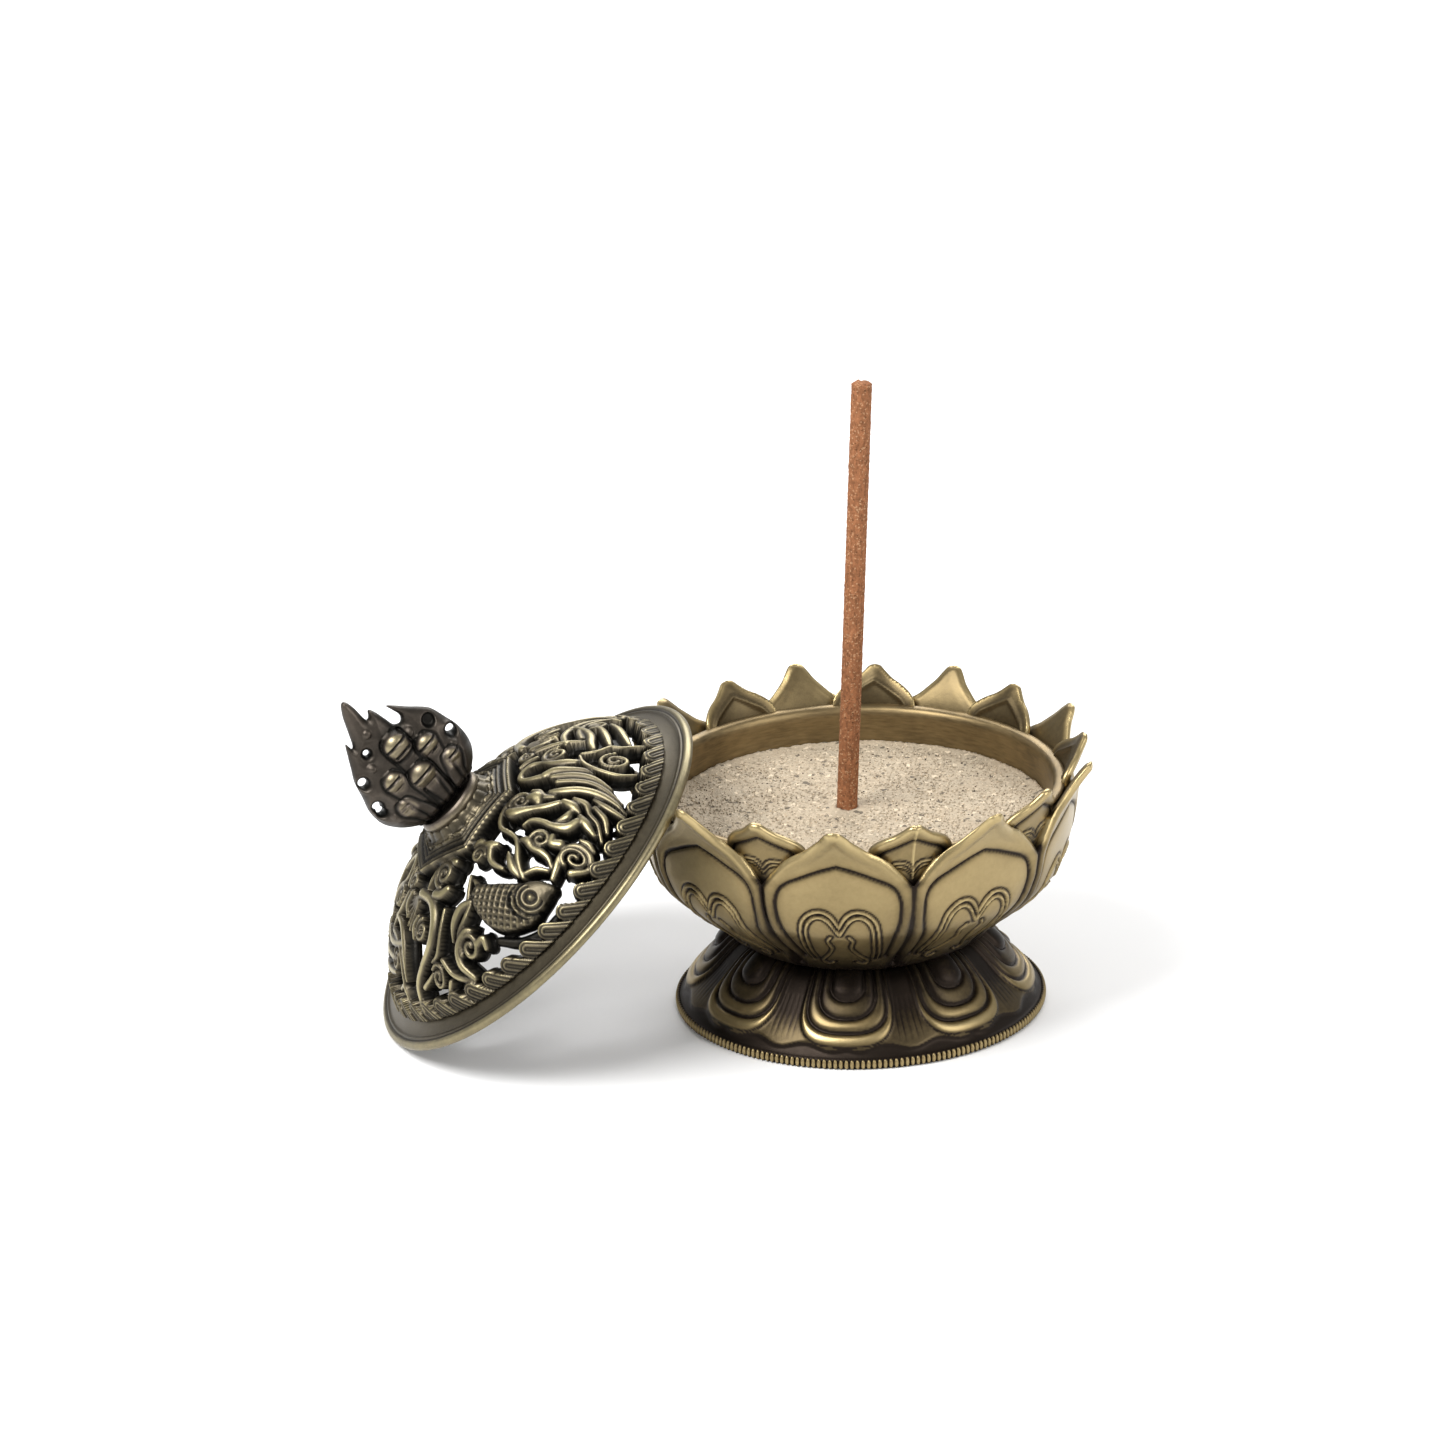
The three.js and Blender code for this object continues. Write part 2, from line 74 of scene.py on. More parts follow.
BOWL_HOLE = 2.3
BOWL_UNDERSIDE = [(BOWL_HOLE, 13.5), (10, 13.5), (19.2, 13.5)]
BOWL_SIDE = [
    (19.8, 13.55), (21.7, 14.5), (23.6, 16.0), (26.0, 18.3), (28.8, 20.5), (31.9, 23.2), (34.3, 26.0),
    (35.6, 29.5), (36.4, 33.5), (36.9, 36.5), (37.6, 39.5), (38.7, 41.9), (40.2, 44.2), (42.1, 46.5),
]
BOWL_INSIDE = [
    (BOWL_HOLE, 15.7), (17.0, 15.8), (22.0, 17.0), (27.0, 21.2), (31.0, 24.6), (33.2, 27.6), (34.4, 31.5),
    (34.9, 35.0), (35.0, 38.2), (35.1, 39.5),
]
LEDGE = 39.5  # height of the ring that the liner hangs on
CROWN_WALL = 1.35  # thickness of the outer petals
ROW = 0.3  # spacing of the mesh rows up a casting

# Half of one outer petal, as [degrees from its middle, height]: its edge, its sunk line and its raised lines.
PETAL_EDGE = [
    (0.0, 46.3), (1.5, 46.05), (2.7, 45.2), (4.0, 44.1), (5.8, 43.0), (8.2, 41.7), (11.0, 40.7), (13.6, 39.5),
    (16.0, 38.0), (18.0, 36.4), (19.6, 35.1), (20.0, 33.4), (20.0, 28.0), (20.0, 22.0), (20.0, 15.2),
]
PETAL_LINE = [
    (0.0, 39.2), (4.6, 38.2), (9.5, 36.8), (13.4, 35.6), (15.6, 34.2), (16.7, 32.0), (16.8, 29.5),
    (16.4, 27.0), (15.7, 24.5), (15.4, 21.3), (15.3, 18.0),
]
HEART_OUTER = [
    (0.0, 27.3), (2.0, 29.6), (4.5, 30.6), (7.5, 30.2), (9.9, 28.6), (10.8, 26.3), (11.4, 23.3), (12.0, 19.9),
    (11.8, 17.8),
]
HEART_INNER = [
    (0.0, 25.8), (2.2, 28.2), (4.5, 29.4), (6.9, 29.2), (8.7, 27.9), (9.6, 26.0), (10.0, 23.0), (10.6, 20.2),
    (10.5, 18.2),
]
CURL = [(2.6, 25.4), (3.7, 24.2), (3.0, 22.2), (4.8, 20.0), (7.4, 18.3), (8.6, 17.3), (6.6, 16.6), (4.4, 17.2)]

INNER_SIDE = [
    (36.2, 32.5), (36.4, 36.0), (36.8, 38.8), (37.4, 41.2), (38.3, 43.2), (39.3, 44.9), (40.2, 46.3),
]
INNER_EDGE = [
    (0.0, 46.2), (1.4, 46.0), (2.8, 45.2), (4.8, 44.2), (7.4, 43.4), (9.8, 42.4), (11.4, 41.2), (11.9, 39.4),
    (11.8, 36.5), (11.8, 32.0),
]
INNER_LINE = [(0.0, 43.7), (2.4, 42.9), (5.4, 41.9), (7.8, 41.1), (9.2, 40.0), (9.5, 38.4), (9.4, 35.0)]
INNER_MARK = [(0.0, 37.8), (1.8, 39.0), (4.2, 39.3), (6.6, 38.3), (8.6, 36.6)]

FOOT_SLOPE = [
    (17.6, 13.2), (19.0, 12.7), (21.0, 11.6), (23.0, 9.7), (25.2, 7.4), (27.6, 5.1), (29.4, 3.2), (30.4, 2.2),
    (30.9, 1.75), (31.2, 1.6), (31.35, 1.3), (31.35, 0.15), (31.2, 0.0),
]
FOOT_INSIDE = [
    (2.3, 11.2), (17.0, 11.2), (19.0, 10.6), (21.0, 9.5), (23.2, 7.3), (25.4, 4.9), (27.4, 2.6), (28.9, 0.8),
    (29.0, 0.0),
]
BEAD_RING = 31.5  # radius of the ring that the edge beads stand on
BEAD_HEIGHT = 0.92  # from the table to the middles of the beads
# The nested rims of one foot petal: middle radius, half angle, reach outwards, squareness, height of its step.
FOOT_RINGS = [
    (22.3, 6.8, 1.6, 2.0, 1.6),
    (22.6, 11.4, 3.6, 2.3, 1.2),
    (23.0, 15.6, 4.95, 3.0, 0.9),
    (23.4, 17.5, 6.3, 3.2, 0.7),
]

LINER_PROFILE = [
    (0, 20.1), (24.4, 20.1), (27.4, 22.2), (30.6, 25.0), (32.6, 28.2), (33.8, 32.0), (34.3, 36.0), (34.6, 39.8),
    (35.5, 39.85), (35.8, 40.1), (35.8, 40.4), (35.55, 40.7), (35.0, 40.8), (34.2, 40.6), (33.8, 40.2),
    (33.5, 39.2), (33.3, 36.0), (32.8, 32.0), (31.7, 28.4), (29.9, 25.6), (26.9, 22.9), (24.0, 21.0), (0, 21.0),
]

SAND_RADIUS = 33.05
# The sand's underside, as radii and the heights there.
SAND_FLOOR = [(0, 23.6, 26.6, 29.6, 31.4, 32.6, 33.1), (21.4, 21.4, 23.2, 26.0, 28.9, 32.4, 33.6)]
STICK_RADIUS = 1.75

# The lid, in its own frame: rim plane at height 0, plan x to the right and y away from the front.
LID_SPIN = -171.8  # degrees about its own axis
LID_COLLAR_HEIGHT = 21.4  # rim plane to the middle of the finial's collar
DOME_RADIUS = 31.9
DOME_REACH = 34.2
DOME_RISE = 24.25
DOME_SINK = 6.25
DOME_WALL = 1.25
STROKE_SPREAD = 1.16  # how far the cast strokes have run out
DOME_STEP = 0.22  # spacing of the mesh over the openwork
RIM_PROFILE = [
    (30.7, 1.5), (32.6, 0.9), (35.0, 0.1), (36.8, 0.0), (37.1, 0.25), (37.12, 0.7), (36.9, 1.15), (36.45, 1.4),
    (36.05, 1.42), (35.8, 1.25), (35.6, 1.42), (35.35, 1.55), (35.1, 1.42), (34.6, 1.52), (33.6, 1.9),
    (32.6, 2.35), (31.9, 2.75), (31.0, 3.1),
]
HEX_TURN = 42.5  # degrees, one corner of the collar, from -Y towards +X
HEX_FLAT = 10.9

# Curling clouds on the lid: x, y, outer radius, start angle in degrees, turns (negative turns the other way).
SCROLLS = [
    (-9.3, -9.2, 2.9, 200, -1.7), (-3.0, -14.1, 1.9, 300, 1.4), (8.2, -12.0, 2.5, 150, -1.6),
    (6.0, -21.4, 2.2, 120, -1.3), (7.5, -27.2, 2.4, 170, -1.5), (17.7, -5.2, 2.7, 60, 1.7),
    (14.2, -0.4, 2.0, 90, 1.2), (23.7, -13.4, 2.6, 70, 1.7), (-22.6, -16.8, 2.1, 80, -1.5),
    (-15.2, -22.0, 2.6, 150, -1.5), (-19.0, -9.6, 2.2, 20, 1.5), (-25.6, -1.6, 2.0, 60, 1.3),
]

# Cast strokes on the lid: x, y and half width at each of a few points along the middle line.
STROKES = [
    # the carp's tail and fins
    [(-9.6, -18.6, 0.6), (-11.6, -17.4, 0.95), (-14.2, -17.4, 0.8), (-16.6, -18.4, 0.3)],
    [(-10.0, -18.9, 0.5), (-12.5, -19.1, 0.6), (-14.5, -19.0, 0.5), (-16.4, -19.4, 0.3)],
    [(-10.3, -18.4, 0.5), (-8.5, -17.1, 0.5), (-6.4, -15.6, 0.35)],
    [(-6.5, -16.8, 0.35), (-6.8, -18.4, 0.6), (-7.4, -20.0, 0.6)],
    [(0.2, -23.9, 0.5), (2.0, -24.7, 0.6), (3.1, -26.1, 0.45)],
    # first scroll's leaf and stem
    [(-2.3, -12.0, 0.6), (-1.2, -12.4, 0.8), (-0.9, -13.6, 0.6), (-0.4, -14.8, 0.9), (0.4, -15.9, 0.6)],
    [(-0.6, -15.2, 0.8), (-2.0, -16.8, 0.65), (-2.3, -18.4, 0.55), (-1.8, -20.2, 0.4)],
    # the long thin stem and its leaf
    [(7.6, -9.9, 0.45), (5.6, -10.5, 0.5), (3.8, -12.0, 0.55), (2.9, -13.8, 0.5), (3.3, -16.0, 0.5),
     (3.3, -18.0, 0.5), (2.4, -19.6, 0.6), (1.1, -21.2, 0.7), (0.0, -23.0, 0.6), (-0.6, -24.2, 0.4)],
    [(0.9, -18.8, 0.3), (0.1, -20.2, 0.75), (-0.6, -21.8, 0.8), (-0.9, -23.4, 0.4)],
    # the big scroll's cloud
    [(5.7, -12.2, 0.9), (6.2, -13.4, 1.2), (7.6, -14.5, 1.0), (9.0, -15.6, 0.8), (10.6, -16.8, 0.8),
     (12.4, -17.6, 0.7)],
    [(9.6, -12.6, 0.8), (10.6, -13.6, 1.3), (10.2, -15.0, 0.8)],
    [(10.9, -11.6, 0.5), (11.8, -12.8, 0.45), (11.6, -14.6, 0.6), (12.6, -15.8, 0.5)],
    # plumes
    [(5.8, -16.8, 0.35), (7.3, -17.2, 0.55), (8.4, -18.9, 0.65), (9.0, -20.8, 0.8), (10.3, -22.5, 1.05),
     (12.2, -22.6, 0.9)],
    [(10.2, -20.6, 0.5), (11.6, -20.9, 0.9), (12.7, -20.4, 0.6)],
    [(13.2, -17.9, 0.7), (13.6, -19.6, 0.95), (13.6, -21.2, 0.5)],
    [(14.7, -18.4, 0.5), (15.3, -20.4, 0.7), (14.5, -22.4, 0.5), (14.2, -24.4, 0.5), (12.5, -26.9, 0.35)],
    [(13.2, -22.0, 0.6), (12.9, -23.6, 0.9), (12.5, -25.6, 0.5)],
    [(15.9, -21.6, 0.5), (15.6, -24.0, 0.65), (14.2, -26.0, 0.4)],
    # second scroll's band and lobes
    [(3.9, -19.0, 0.5), (4.4, -20.0, 0.85), (4.1, -21.6, 0.7), (4.6, -23.2, 0.75), (4.6, -24.8, 0.6),
     (3.8, -26.2, 0.4)],
    [(7.7, -22.4, 0.7), (6.9, -23.2, 0.9), (7.6, -24.2, 1.0)],
    # third scroll's band
    [(2.6, -27.4, 0.5), (4.4, -26.6, 0.7), (6.2, -25.6, 0.55), (8.2, -25.2, 0.55), (9.6, -26.2, 0.6),
     (9.5, -28.0, 0.6), (7.6, -29.2, 0.6), (5.4, -28.4, 0.8)],
    [(10.4, -25.4, 0.4), (10.8, -26.4, 0.6), (10.5, -27.6, 0.4)],
    # feathers
    [(14.2, -9.8, 1.0), (15.8, -10.0, 1.0), (17.6, -11.6, 0.8), (19.2, -13.2, 0.55), (19.8, -14.8, 0.3)],
    [(14.8, -11.2, 0.7), (16.4, -12.4, 0.75), (18.2, -14.2, 0.75), (19.4, -16.4, 0.6), (19.9, -19.3, 0.35)],
    [(14.8, -13.0, 0.6), (16.8, -14.8, 0.65), (18.4, -16.8, 0.6), (19.2, -19.4, 0.5), (19.3, -22.4, 0.35)],
    [(12.8, -14.4, 0.6), (14.4, -15.8, 0.9), (16.4, -17.4, 0.9), (17.9, -19.6, 0.85), (18.6, -22.0, 0.6),
     (18.6, -24.0, 0.3)],
    [(16.8, -20.2, 0.4), (17.2, -22.4, 0.7), (17.8, -24.6, 0.5)],
    # the looped ribbon
    [(13.6, -9.6, 0.8), (11.8, -8.2, 0.7), (10.8, -6.6, 0.65), (11.6, -5.1, 0.7), (13.6, -4.4, 0.7),
     (15.2, -5.6, 0.6), (16.4, -7.6, 0.8), (17.8, -8.9, 0.9), (19.2, -10.2, 0.7)],
    [(16.0, -0.2, 0.7), (18.2, -1.0, 0.7), (20.4, -2.4, 0.65), (22.7, -4.4, 0.35)],
    [(15.6, 1.6, 0.8), (17.4, 1.2, 0.8), (18.9, 2.1, 0.4)],
    [(12.2, -2.6, 0.5), (13.6, -2.5, 0.7), (15.2, -2.6, 0.5)],
    # the bud's outer arc and the banner
    [(20.4, -8.8, 0.35), (20.0, -11.4, 0.5), (20.8, -14.4, 0.55), (22.4, -16.8, 0.5), (24.4, -17.2, 0.3)],
    [(20.9, -8.5, 0.45), (23.0, -9.3, 0.5), (24.9, -8.9, 0.5), (26.2, -9.8, 0.5), (28.6, -9.7, 0.4)],
    [(22.9, 4.0, 0.7), (23.8, 0.6, 0.75), (23.9, -3.0, 0.85), (23.0, -6.4, 0.75), (22.7, -8.2, 0.5)],
    [(25.6, 2.0, 0.5), (25.9, -1.4, 0.7), (25.6, -5.0, 0.75), (25.0, -8.2, 0.5)],
    [(27.6, 1.0, 0.5), (27.9, -2.4, 0.7), (27.6, -6.0, 0.7), (27.2, -9.0, 0.5)],
    # left: the hood over the first scroll
    [(-13.4, -6.6, 0.4), (-11.2, -6.4, 0.55), (-8.8, -6.9, 0.55), (-6.9, -8.4, 0.6), (-6.5, -10.2, 0.8)],
    [(-12.9, -9.8, 1.0), (-12.2, -11.2, 0.95), (-10.8, -12.2, 0.8)],
    # fan leaf
    [(-15.2, -4.9, 0.5), (-15.9, -2.4, 0.32), (-16.3, -0.2, 0.3)],
    [(-15.4, -4.9, 0.5), (-16.5, -2.4, 0.32), (-17.3, 0.0, 0.3)],
    [(-15.6, -5.0, 0.5), (-17.1, -2.8, 0.32), (-18.3, -0.9, 0.3)],
    [(-15.7, -5.1, 0.5), (-17.6, -3.5, 0.32), (-19.4, -2.1, 0.3)],
    [(-15.8, -5.3, 0.5), (-18.0, -4.4, 0.32), (-20.2, -3.7, 0.3)],
    [(-15.9, -5.6, 0.5), (-18.2, -5.3, 0.32), (-20.5, -5.1, 0.3)],
    # the long stems on the left
    [(-14.4, -5.4, 1.0), (-14.2, -7.6, 0.9), (-14.3, -10.0, 1.0), (-15.8, -12.2, 1.1), (-18.2, -13.3, 1.05),
     (-20.8, -13.1, 0.9), (-23.4, -12.1, 0.75), (-26.2, -11.4, 0.85), (-28.6, -12.6, 0.8)],
    [(-13.6, -13.8, 0.4), (-16.4, -14.7, 0.5), (-19.8, -15.6, 0.5), (-21.6, -14.6, 0.35)],
    [(-20.9, -7.6, 0.45), (-19.4, -6.8, 0.65), (-17.7, -7.1, 0.5)],
    [(-20.2, 3.0, 0.6), (-20.8, -1.0, 0.7), (-22.4, -3.6, 0.75), (-24.8, -5.5, 0.65), (-27.2, -6.6, 0.4)],
    [(-22.6, 3.0, 0.6), (-23.1, -0.8, 0.6), (-24.4, -3.2, 0.6), (-26.6, -4.9, 0.5), (-28.6, -6.0, 0.5)],
    [(-18.4, -23.8, 0.6), (-18.4, -21.2, 0.8), (-16.6, -19.8, 0.8), (-13.9, -20.1, 0.75), (-12.9, -21.2, 0.3)],
    [(-13.9, -23.0, 0.8), (-12.6, -23.6, 0.7), (-13.4, -24.6, 0.5)],
    [(-20.1, -17.0, 0.5), (-20.6, -19.4, 0.55), (-20.0, -21.6, 0.6), (-18.8, -23.8, 0.45)],
    [(-24.2, -19.3, 0.5), (-21.8, -19.5, 0.6)],
    [(-25.6, -13.2, 0.6), (-24.2, -14.4, 0.5), (-23.0, -15.2, 0.4)],
    [(-29.4, -7.4, 0.5), (-28.2, -5.6, 0.55), (-29.0, -3.8, 0.4)],
]

# Through openings in the lid, given like the strokes.
OPENINGS = [
    [(-23.8, -10.9, 0.3), (-22.2, -10.6, 0.65), (-20.8, -11.4, 0.5)],
    [(-21.8, -9.6, 0.35), (-21.2, -10.8, 0.5)],
    [(-26.0, -14.9, 0.8), (-24.8, -14.9, 0.8)],
    [(-12.2, -14.3, 0.25), (-11.2, -15.6, 0.7), (-9.8, -15.5, 0.6), (-8.0, -15.1, 0.5), (-6.3, -14.3, 0.3)],
    [(-19.0, -20.1, 0.55), (-18.5, -18.9, 0.9), (-17.2, -18.3, 0.6), (-15.5, -17.5, 0.3)],
    [(-12.2, -22.3, 0.85)],
    [(-14.4, -26.0, 0.45), (-13.2, -26.6, 0.95), (-11.8, -26.7, 0.95), (-11.1, -27.4, 0.4)],
    [(-19.2, -24.4, 0.35), (-18.0, -25.1, 0.55), (-16.8, -25.7, 0.35)],
    [(-5.2, -17.1, 0.6), (-4.5, -18.3, 0.95), (-4.3, -19.8, 0.7), (-3.0, -21.0, 0.5), (-2.1, -22.1, 0.35)],
    [(1.5, -14.6, 0.6)],
    [(-0.6, -19.4, 0.45)],
    [(2.2, -17.2, 0.5), (1.8, -18.5, 0.65), (1.2, -19.5, 0.4)],
    [(2.7, -21.4, 0.4), (1.8, -22.7, 0.9), (2.1, -23.8, 0.8), (3.3, -24.9, 0.5)],
    [(4.5, -14.5, 0.5), (4.8, -15.6, 0.7), (6.5, -16.0, 0.8), (8.2, -17.5, 0.85), (9.8, -19.5, 0.75),
     (11.2, -19.8, 0.4)],
    [(4.5, -18.2, 0.5), (5.5, -18.4, 0.6), (6.3, -19.4, 0.4)],
    [(12.9, -13.3, 0.75)],
    [(9.6, -24.5, 0.55), (11.2, -24.6, 0.6)],
    [(0.3, -26.1, 0.35), (1.5, -26.9, 0.45)],
    [(4.0, -29.0, 0.7), (2.9, -29.6, 0.6), (3.8, -30.0, 0.4)],
    [(19.8, -13.8, 0.35), (20.2, -15.2, 0.45), (20.9, -16.5, 0.4)],
    [(21.6, -19.8, 0.5), (20.6, -21.2, 0.5)],
    [(16.0, -25.9, 0.35)],
    [(6.2, -25.0, 0.3)],
    [(19.4, 3.0, 1.1), (20.4, 0.6, 1.1), (21.2, -1.6, 0.6)],
    [(20.6, -5.4, 0.7), (21.2, -6.8, 0.7)],
    [(13.2, -6.8, 0.9), (14.2, -7.2, 0.8)],
    [(-25.6, -8.6, 1.1), (-23.6, -8.2, 1.0)],
    [(-9.4, -12.9, 0.4), (-7.8, -12.6, 0.5)],
    [(-19.0, 2.0, 0.7), (-18.6, 4.4, 0.8)],
    [(9.2, -8.6, 0.45), (11.0, -10.0, 0.6)],
    [(-17.0, -9.6, 0.5), (-16.4, -11.0, 0.5)],
    [(28.8, -11.6, 0.4)],
]

# Low plates that tie the pattern together, given like the strokes; they are painted near black like the rest of
# the sunk plate, a painted shade.
PLATES = [
    [(16.0, -11.0, 1.2), (18.4, -13.6, 1.2), (19.4, -17.0, 1.0)],
    [(21.4, -3.4, 1.2), (22.6, -7.0, 1.2), (26.4, -4.0, 1.4), (26.4, -8.0, 1.4)],
    [(-22.2, 1.0, 1.2), (-23.0, -3.0, 1.3), (-26.4, -5.8, 1.2)],
    [(-20.4, -14.0, 1.0), (-17.0, -13.8, 1.0)],
    [(21.6, -10.4, 1.0), (22.0, -15.6, 1.0), (25.2, -13.8, 1.2)],
    [(-11.6, -25.4, 0.9), (-9.0, -28.6, 1.2), (-5.0, -30.4, 1.2), (-1.0, -30.6, 0.8)],
    [(14.4, -4.6, 0.8), (12.4, -2.6, 0.8), (14.0, -0.6, 0.8)],
    [(-14.8, -4.6, 0.8), (-12.6, -5.8, 0.8), (-9.4, -7.0, 0.7)],
    [(12.6, -23.6, 0.8), (10.0, -26.2, 0.9), (9.6, -29.4, 0.9)],
]

# The carp: the middle lines of its body and head, given like the strokes, and its eye.
CARP_BODY = [(-7.6, -19.2, 1.7), (-7.3, -21.7, 3.2), (-6.3, -24.5, 4.3), (-4.2, -26.4, 4.0)]
CARP_HEAD = [(-3.0, -26.8, 3.3), (-1.2, -27.2, 2.6), (0.4, -27.7, 1.5), (1.1, -28.1, 0.9)]
CARP_EYE = (-2.0, -27.2)
CARP_GILLS = (3.9, 2.9, 2.0)  # radii of the arcs behind the eye

# The finial, across and up from the lid's rim plane.
FINIAL_EDGE = [
    (-5.4, 22.3), (-6.6, 22.9), (-9.0, 25.1), (-10.4, 27.8), (-10.3, 30.9), (-9.3, 33.4), (-8.2, 36.4),
    (-6.9, 38.4), (-5.6, 40.4), (-4.3, 42.2), (-4.2, 40.9), (-3.6, 41.2), (-2.4, 43.4), (-1.1, 45.8),
    (0.3, 47.5), (1.1, 47.2), (1.3, 45.2), (1.1, 42.6), (1.7, 42.4), (2.6, 43.3), (3.1, 42.2), (3.4, 39.9),
    (3.6, 38.3), (4.6, 37.6), (5.5, 38.5), (5.3, 40.1), (5.1, 41.5), (6.2, 40.2), (7.5, 38.4), (8.9, 36.7),
    (9.9, 35.0), (10.4, 32.0), (10.7, 29.6), (10.3, 26.8), (9.2, 24.6), (7.2, 22.9), (5.6, 22.3),
]
FINIAL_HOLES = [(-3.1, 38.5, 0.5), (-7.3, 35.5, 0.75), (-8.7, 30.9, 0.7), (-8.9, 29.9, 0.6), (9.4, 30.4, 0.75)]
FINIAL_DENTS = [(8.1, 34.6, 1.3), (3.4, 37.2, 0.7)]
FINIAL_STUDS = [(-0.6, 41.0, 0.8), (-4.4, 36.4, 0.8), (4.4, 36.0, 0.9), (-8.1, 28.3, 0.6), (8.2, 29.0, 0.7)]
# Jewels: across, up, radius and how far forward they sit.
JEWELS = [
    (1.3, 36.2, 2.4, 2.6), (-3.5, 32.2, 2.15, 3.0), (4.9, 32.4, 2.15, 3.0), (-5.2, 27.9, 1.95, 3.4),
    (6.1, 27.9, 1.95, 3.4), (0.6, 29.6, 2.65, 4.0),
]
# Half the thickness and half the width of the finial's body, each as heights and values at them.
FINIAL_GIRTH = [(22, 24, 27, 30, 33, 36, 38, 40, 44, 48), (5.0, 5.6, 6.0, 5.2, 4.0, 2.9, 2.1, 1.7, 1.3, 0.9)]
FINIAL_REACH = [(22, 24, 27, 30, 34, 38, 48), (6.3, 9.0, 10.6, 10.9, 10.4, 10.0, 10.0)]
FINIAL_COLLAR_PROFILE = [
    (2.0, 20.3), (5.5, 20.3), (6.0, 20.5), (6.25, 20.9), (6.35, 21.4), (6.2, 21.9), (5.9, 22.25), (5.4, 22.4),
    (2.0, 22.4),
]


# ------------------------------------------------------------------ properties

class BurnerSizes(bpy.types.PropertyGroup):
    """Sizes of the details that the castings and the sand carry."""

    bead_count: bpy.props.IntProperty(
        name="Edge beads", description="Beads round the edge of the foot", default=210, min=60, max=360)
    bead_radius: bpy.props.FloatProperty(
        name="Bead radius", description="Radius of one edge bead", default=0.5 * MM, subtype="DISTANCE",
        unit="LENGTH")
    groove_depth: bpy.props.FloatProperty(
        name="Petal line depth", description="Depth of the sunk lines on the petals", default=0.42 * MM,
        subtype="DISTANCE", unit="LENGTH")
    ridge_height: bpy.props.FloatProperty(
        name="Petal ridge height", description="Height of the raised lines on the petals", default=0.34 * MM,
        subtype="DISTANCE", unit="LENGTH")
    lid_relief: bpy.props.FloatProperty(
        name="Lid relief", description="Height of the cast pattern on the lid", default=1.1 * MM,
        subtype="DISTANCE", unit="LENGTH")
    grain_count: bpy.props.IntProperty(
        name="Loose grains", description="Loose grains on top of the sand", default=5200, min=0, max=9000)
    grain_size: bpy.props.FloatProperty(
        name="Grain radius", description="Radius of the largest grain", default=0.25 * MM,
        subtype="DISTANCE", unit="LENGTH")
    seed: bpy.props.IntProperty(name="Seed", description="Fixes where the grains fall", default=7)


def colour_property(label, text, value):
    return bpy.props.FloatVectorProperty(
        name=label, description=text, default=value, size=3, min=0, max=1, subtype="COLOR")


class BurnerColours(bpy.types.PropertyGroup):
    """Colours of the finishes, as linear red, green and blue."""

    # The patina colours also paint shade, and the rubbed colours a painted highlight, where the per-point
    # attribute carries them.
    brass_high: colour_property("Rubbed brass", "Brass on the high places", (0.47, 0.365, 0.18))
    brass_mid: colour_property("Brass", "Brass on the plain places", (0.25, 0.187, 0.088))
    brass_low: colour_property("Brass patina", "Patina in the hollows", (0.02, 0.014, 0.01))
    lid_high: colour_property("Rubbed bronze", "Bronze on the high places", (0.5, 0.43, 0.23))
    lid_mid: colour_property("Bronze", "Bronze on the plain places", (0.12, 0.1, 0.065))
    lid_low: colour_property("Bronze patina", "Patina in the hollows", (0.012, 0.011, 0.009))
    finial_high: colour_property("Rubbed finial", "Finial on the high places", (0.4, 0.34, 0.2))
    finial_mid: colour_property("Finial", "Finial on the plain places", (0.11, 0.09, 0.072))
    liner: colour_property("Liner", "Brown satin brass", (0.2, 0.145, 0.07))
    sand: colour_property("Sand", "Middle colour of the sand", (0.43, 0.36, 0.265))
    incense: colour_property("Incense", "Middle colour of the stick", (0.27, 0.112, 0.05))


# ------------------------------------------------------------------ mesh tools

def smoothed(points, closed=False, steps=8):
    """A Catmull-Rom curve through points, as an array with one row per sample."""
    p = np.array(points, float)
    if len(p) < 2:
        return p
    if closed:
        p = np.vstack([p[-1], p, p[0], p[1]])
    else:
        p = np.vstack([2 * p[0] - p[1], p, 2 * p[-1] - p[-2]])
    t = np.linspace(0, 1, steps, endpoint=False)[:, None]
    rows = []
    for a, b, c, d in zip(p[:-3], p[1:-2], p[2:-1], p[3:]):
        square, cube = 2 * a - 5 * b + 4 * c - d, 3 * b - a - 3 * c + d
        rows.append(0.5 * (2 * b + (c - a) * t + square * t**2 + cube * t**3))
    if not closed:
        rows.append(p[-2][None])
    return np.vstack(rows)


def along(points, spacing):
    """The same line with its points evenly spaced."""
    p = np.array(points, float)
    length = np.concatenate([[0], np.cumsum(np.hypot(*np.diff(p[:, :2], axis=0).T))])
    count = max(2, int(round(length[-1] / spacing)) + 1)
    at = np.linspace(0, length[-1], count)
    return np.column_stack([np.interp(at, length, p[:, k]) for k in range(p.shape[1])])


def distance_to(line, x, y):
    """Distance from each point to a polyline."""
    best = np.full(np.shape(x), 1e9)
    for (ax, ay), (bx, by) in zip(line[:-1], line[1:]):
        dx, dy = bx - ax, by - ay
        t = np.clip(((x - ax) * dx + (y - ay) * dy) / max(dx * dx + dy * dy, 1e-12), 0, 1)
        best = np.minimum(best, np.hypot(x - ax - t * dx, y - ay - t * dy))
    return best


def inside_of(line, x, y):
    """True for each point inside a closed polyline."""
    hit = np.zeros(np.shape(x), bool)
    for (ax, ay), (bx, by) in zip(line, np.roll(line, -1, axis=0)):
        crosses = (ay > y) != (by > y)
        with np.errstate(divide="ignore", invalid="ignore"):
            hit ^= crosses & (x < (bx - ax) * (y - ay) / (by - ay) + ax)
    return hit


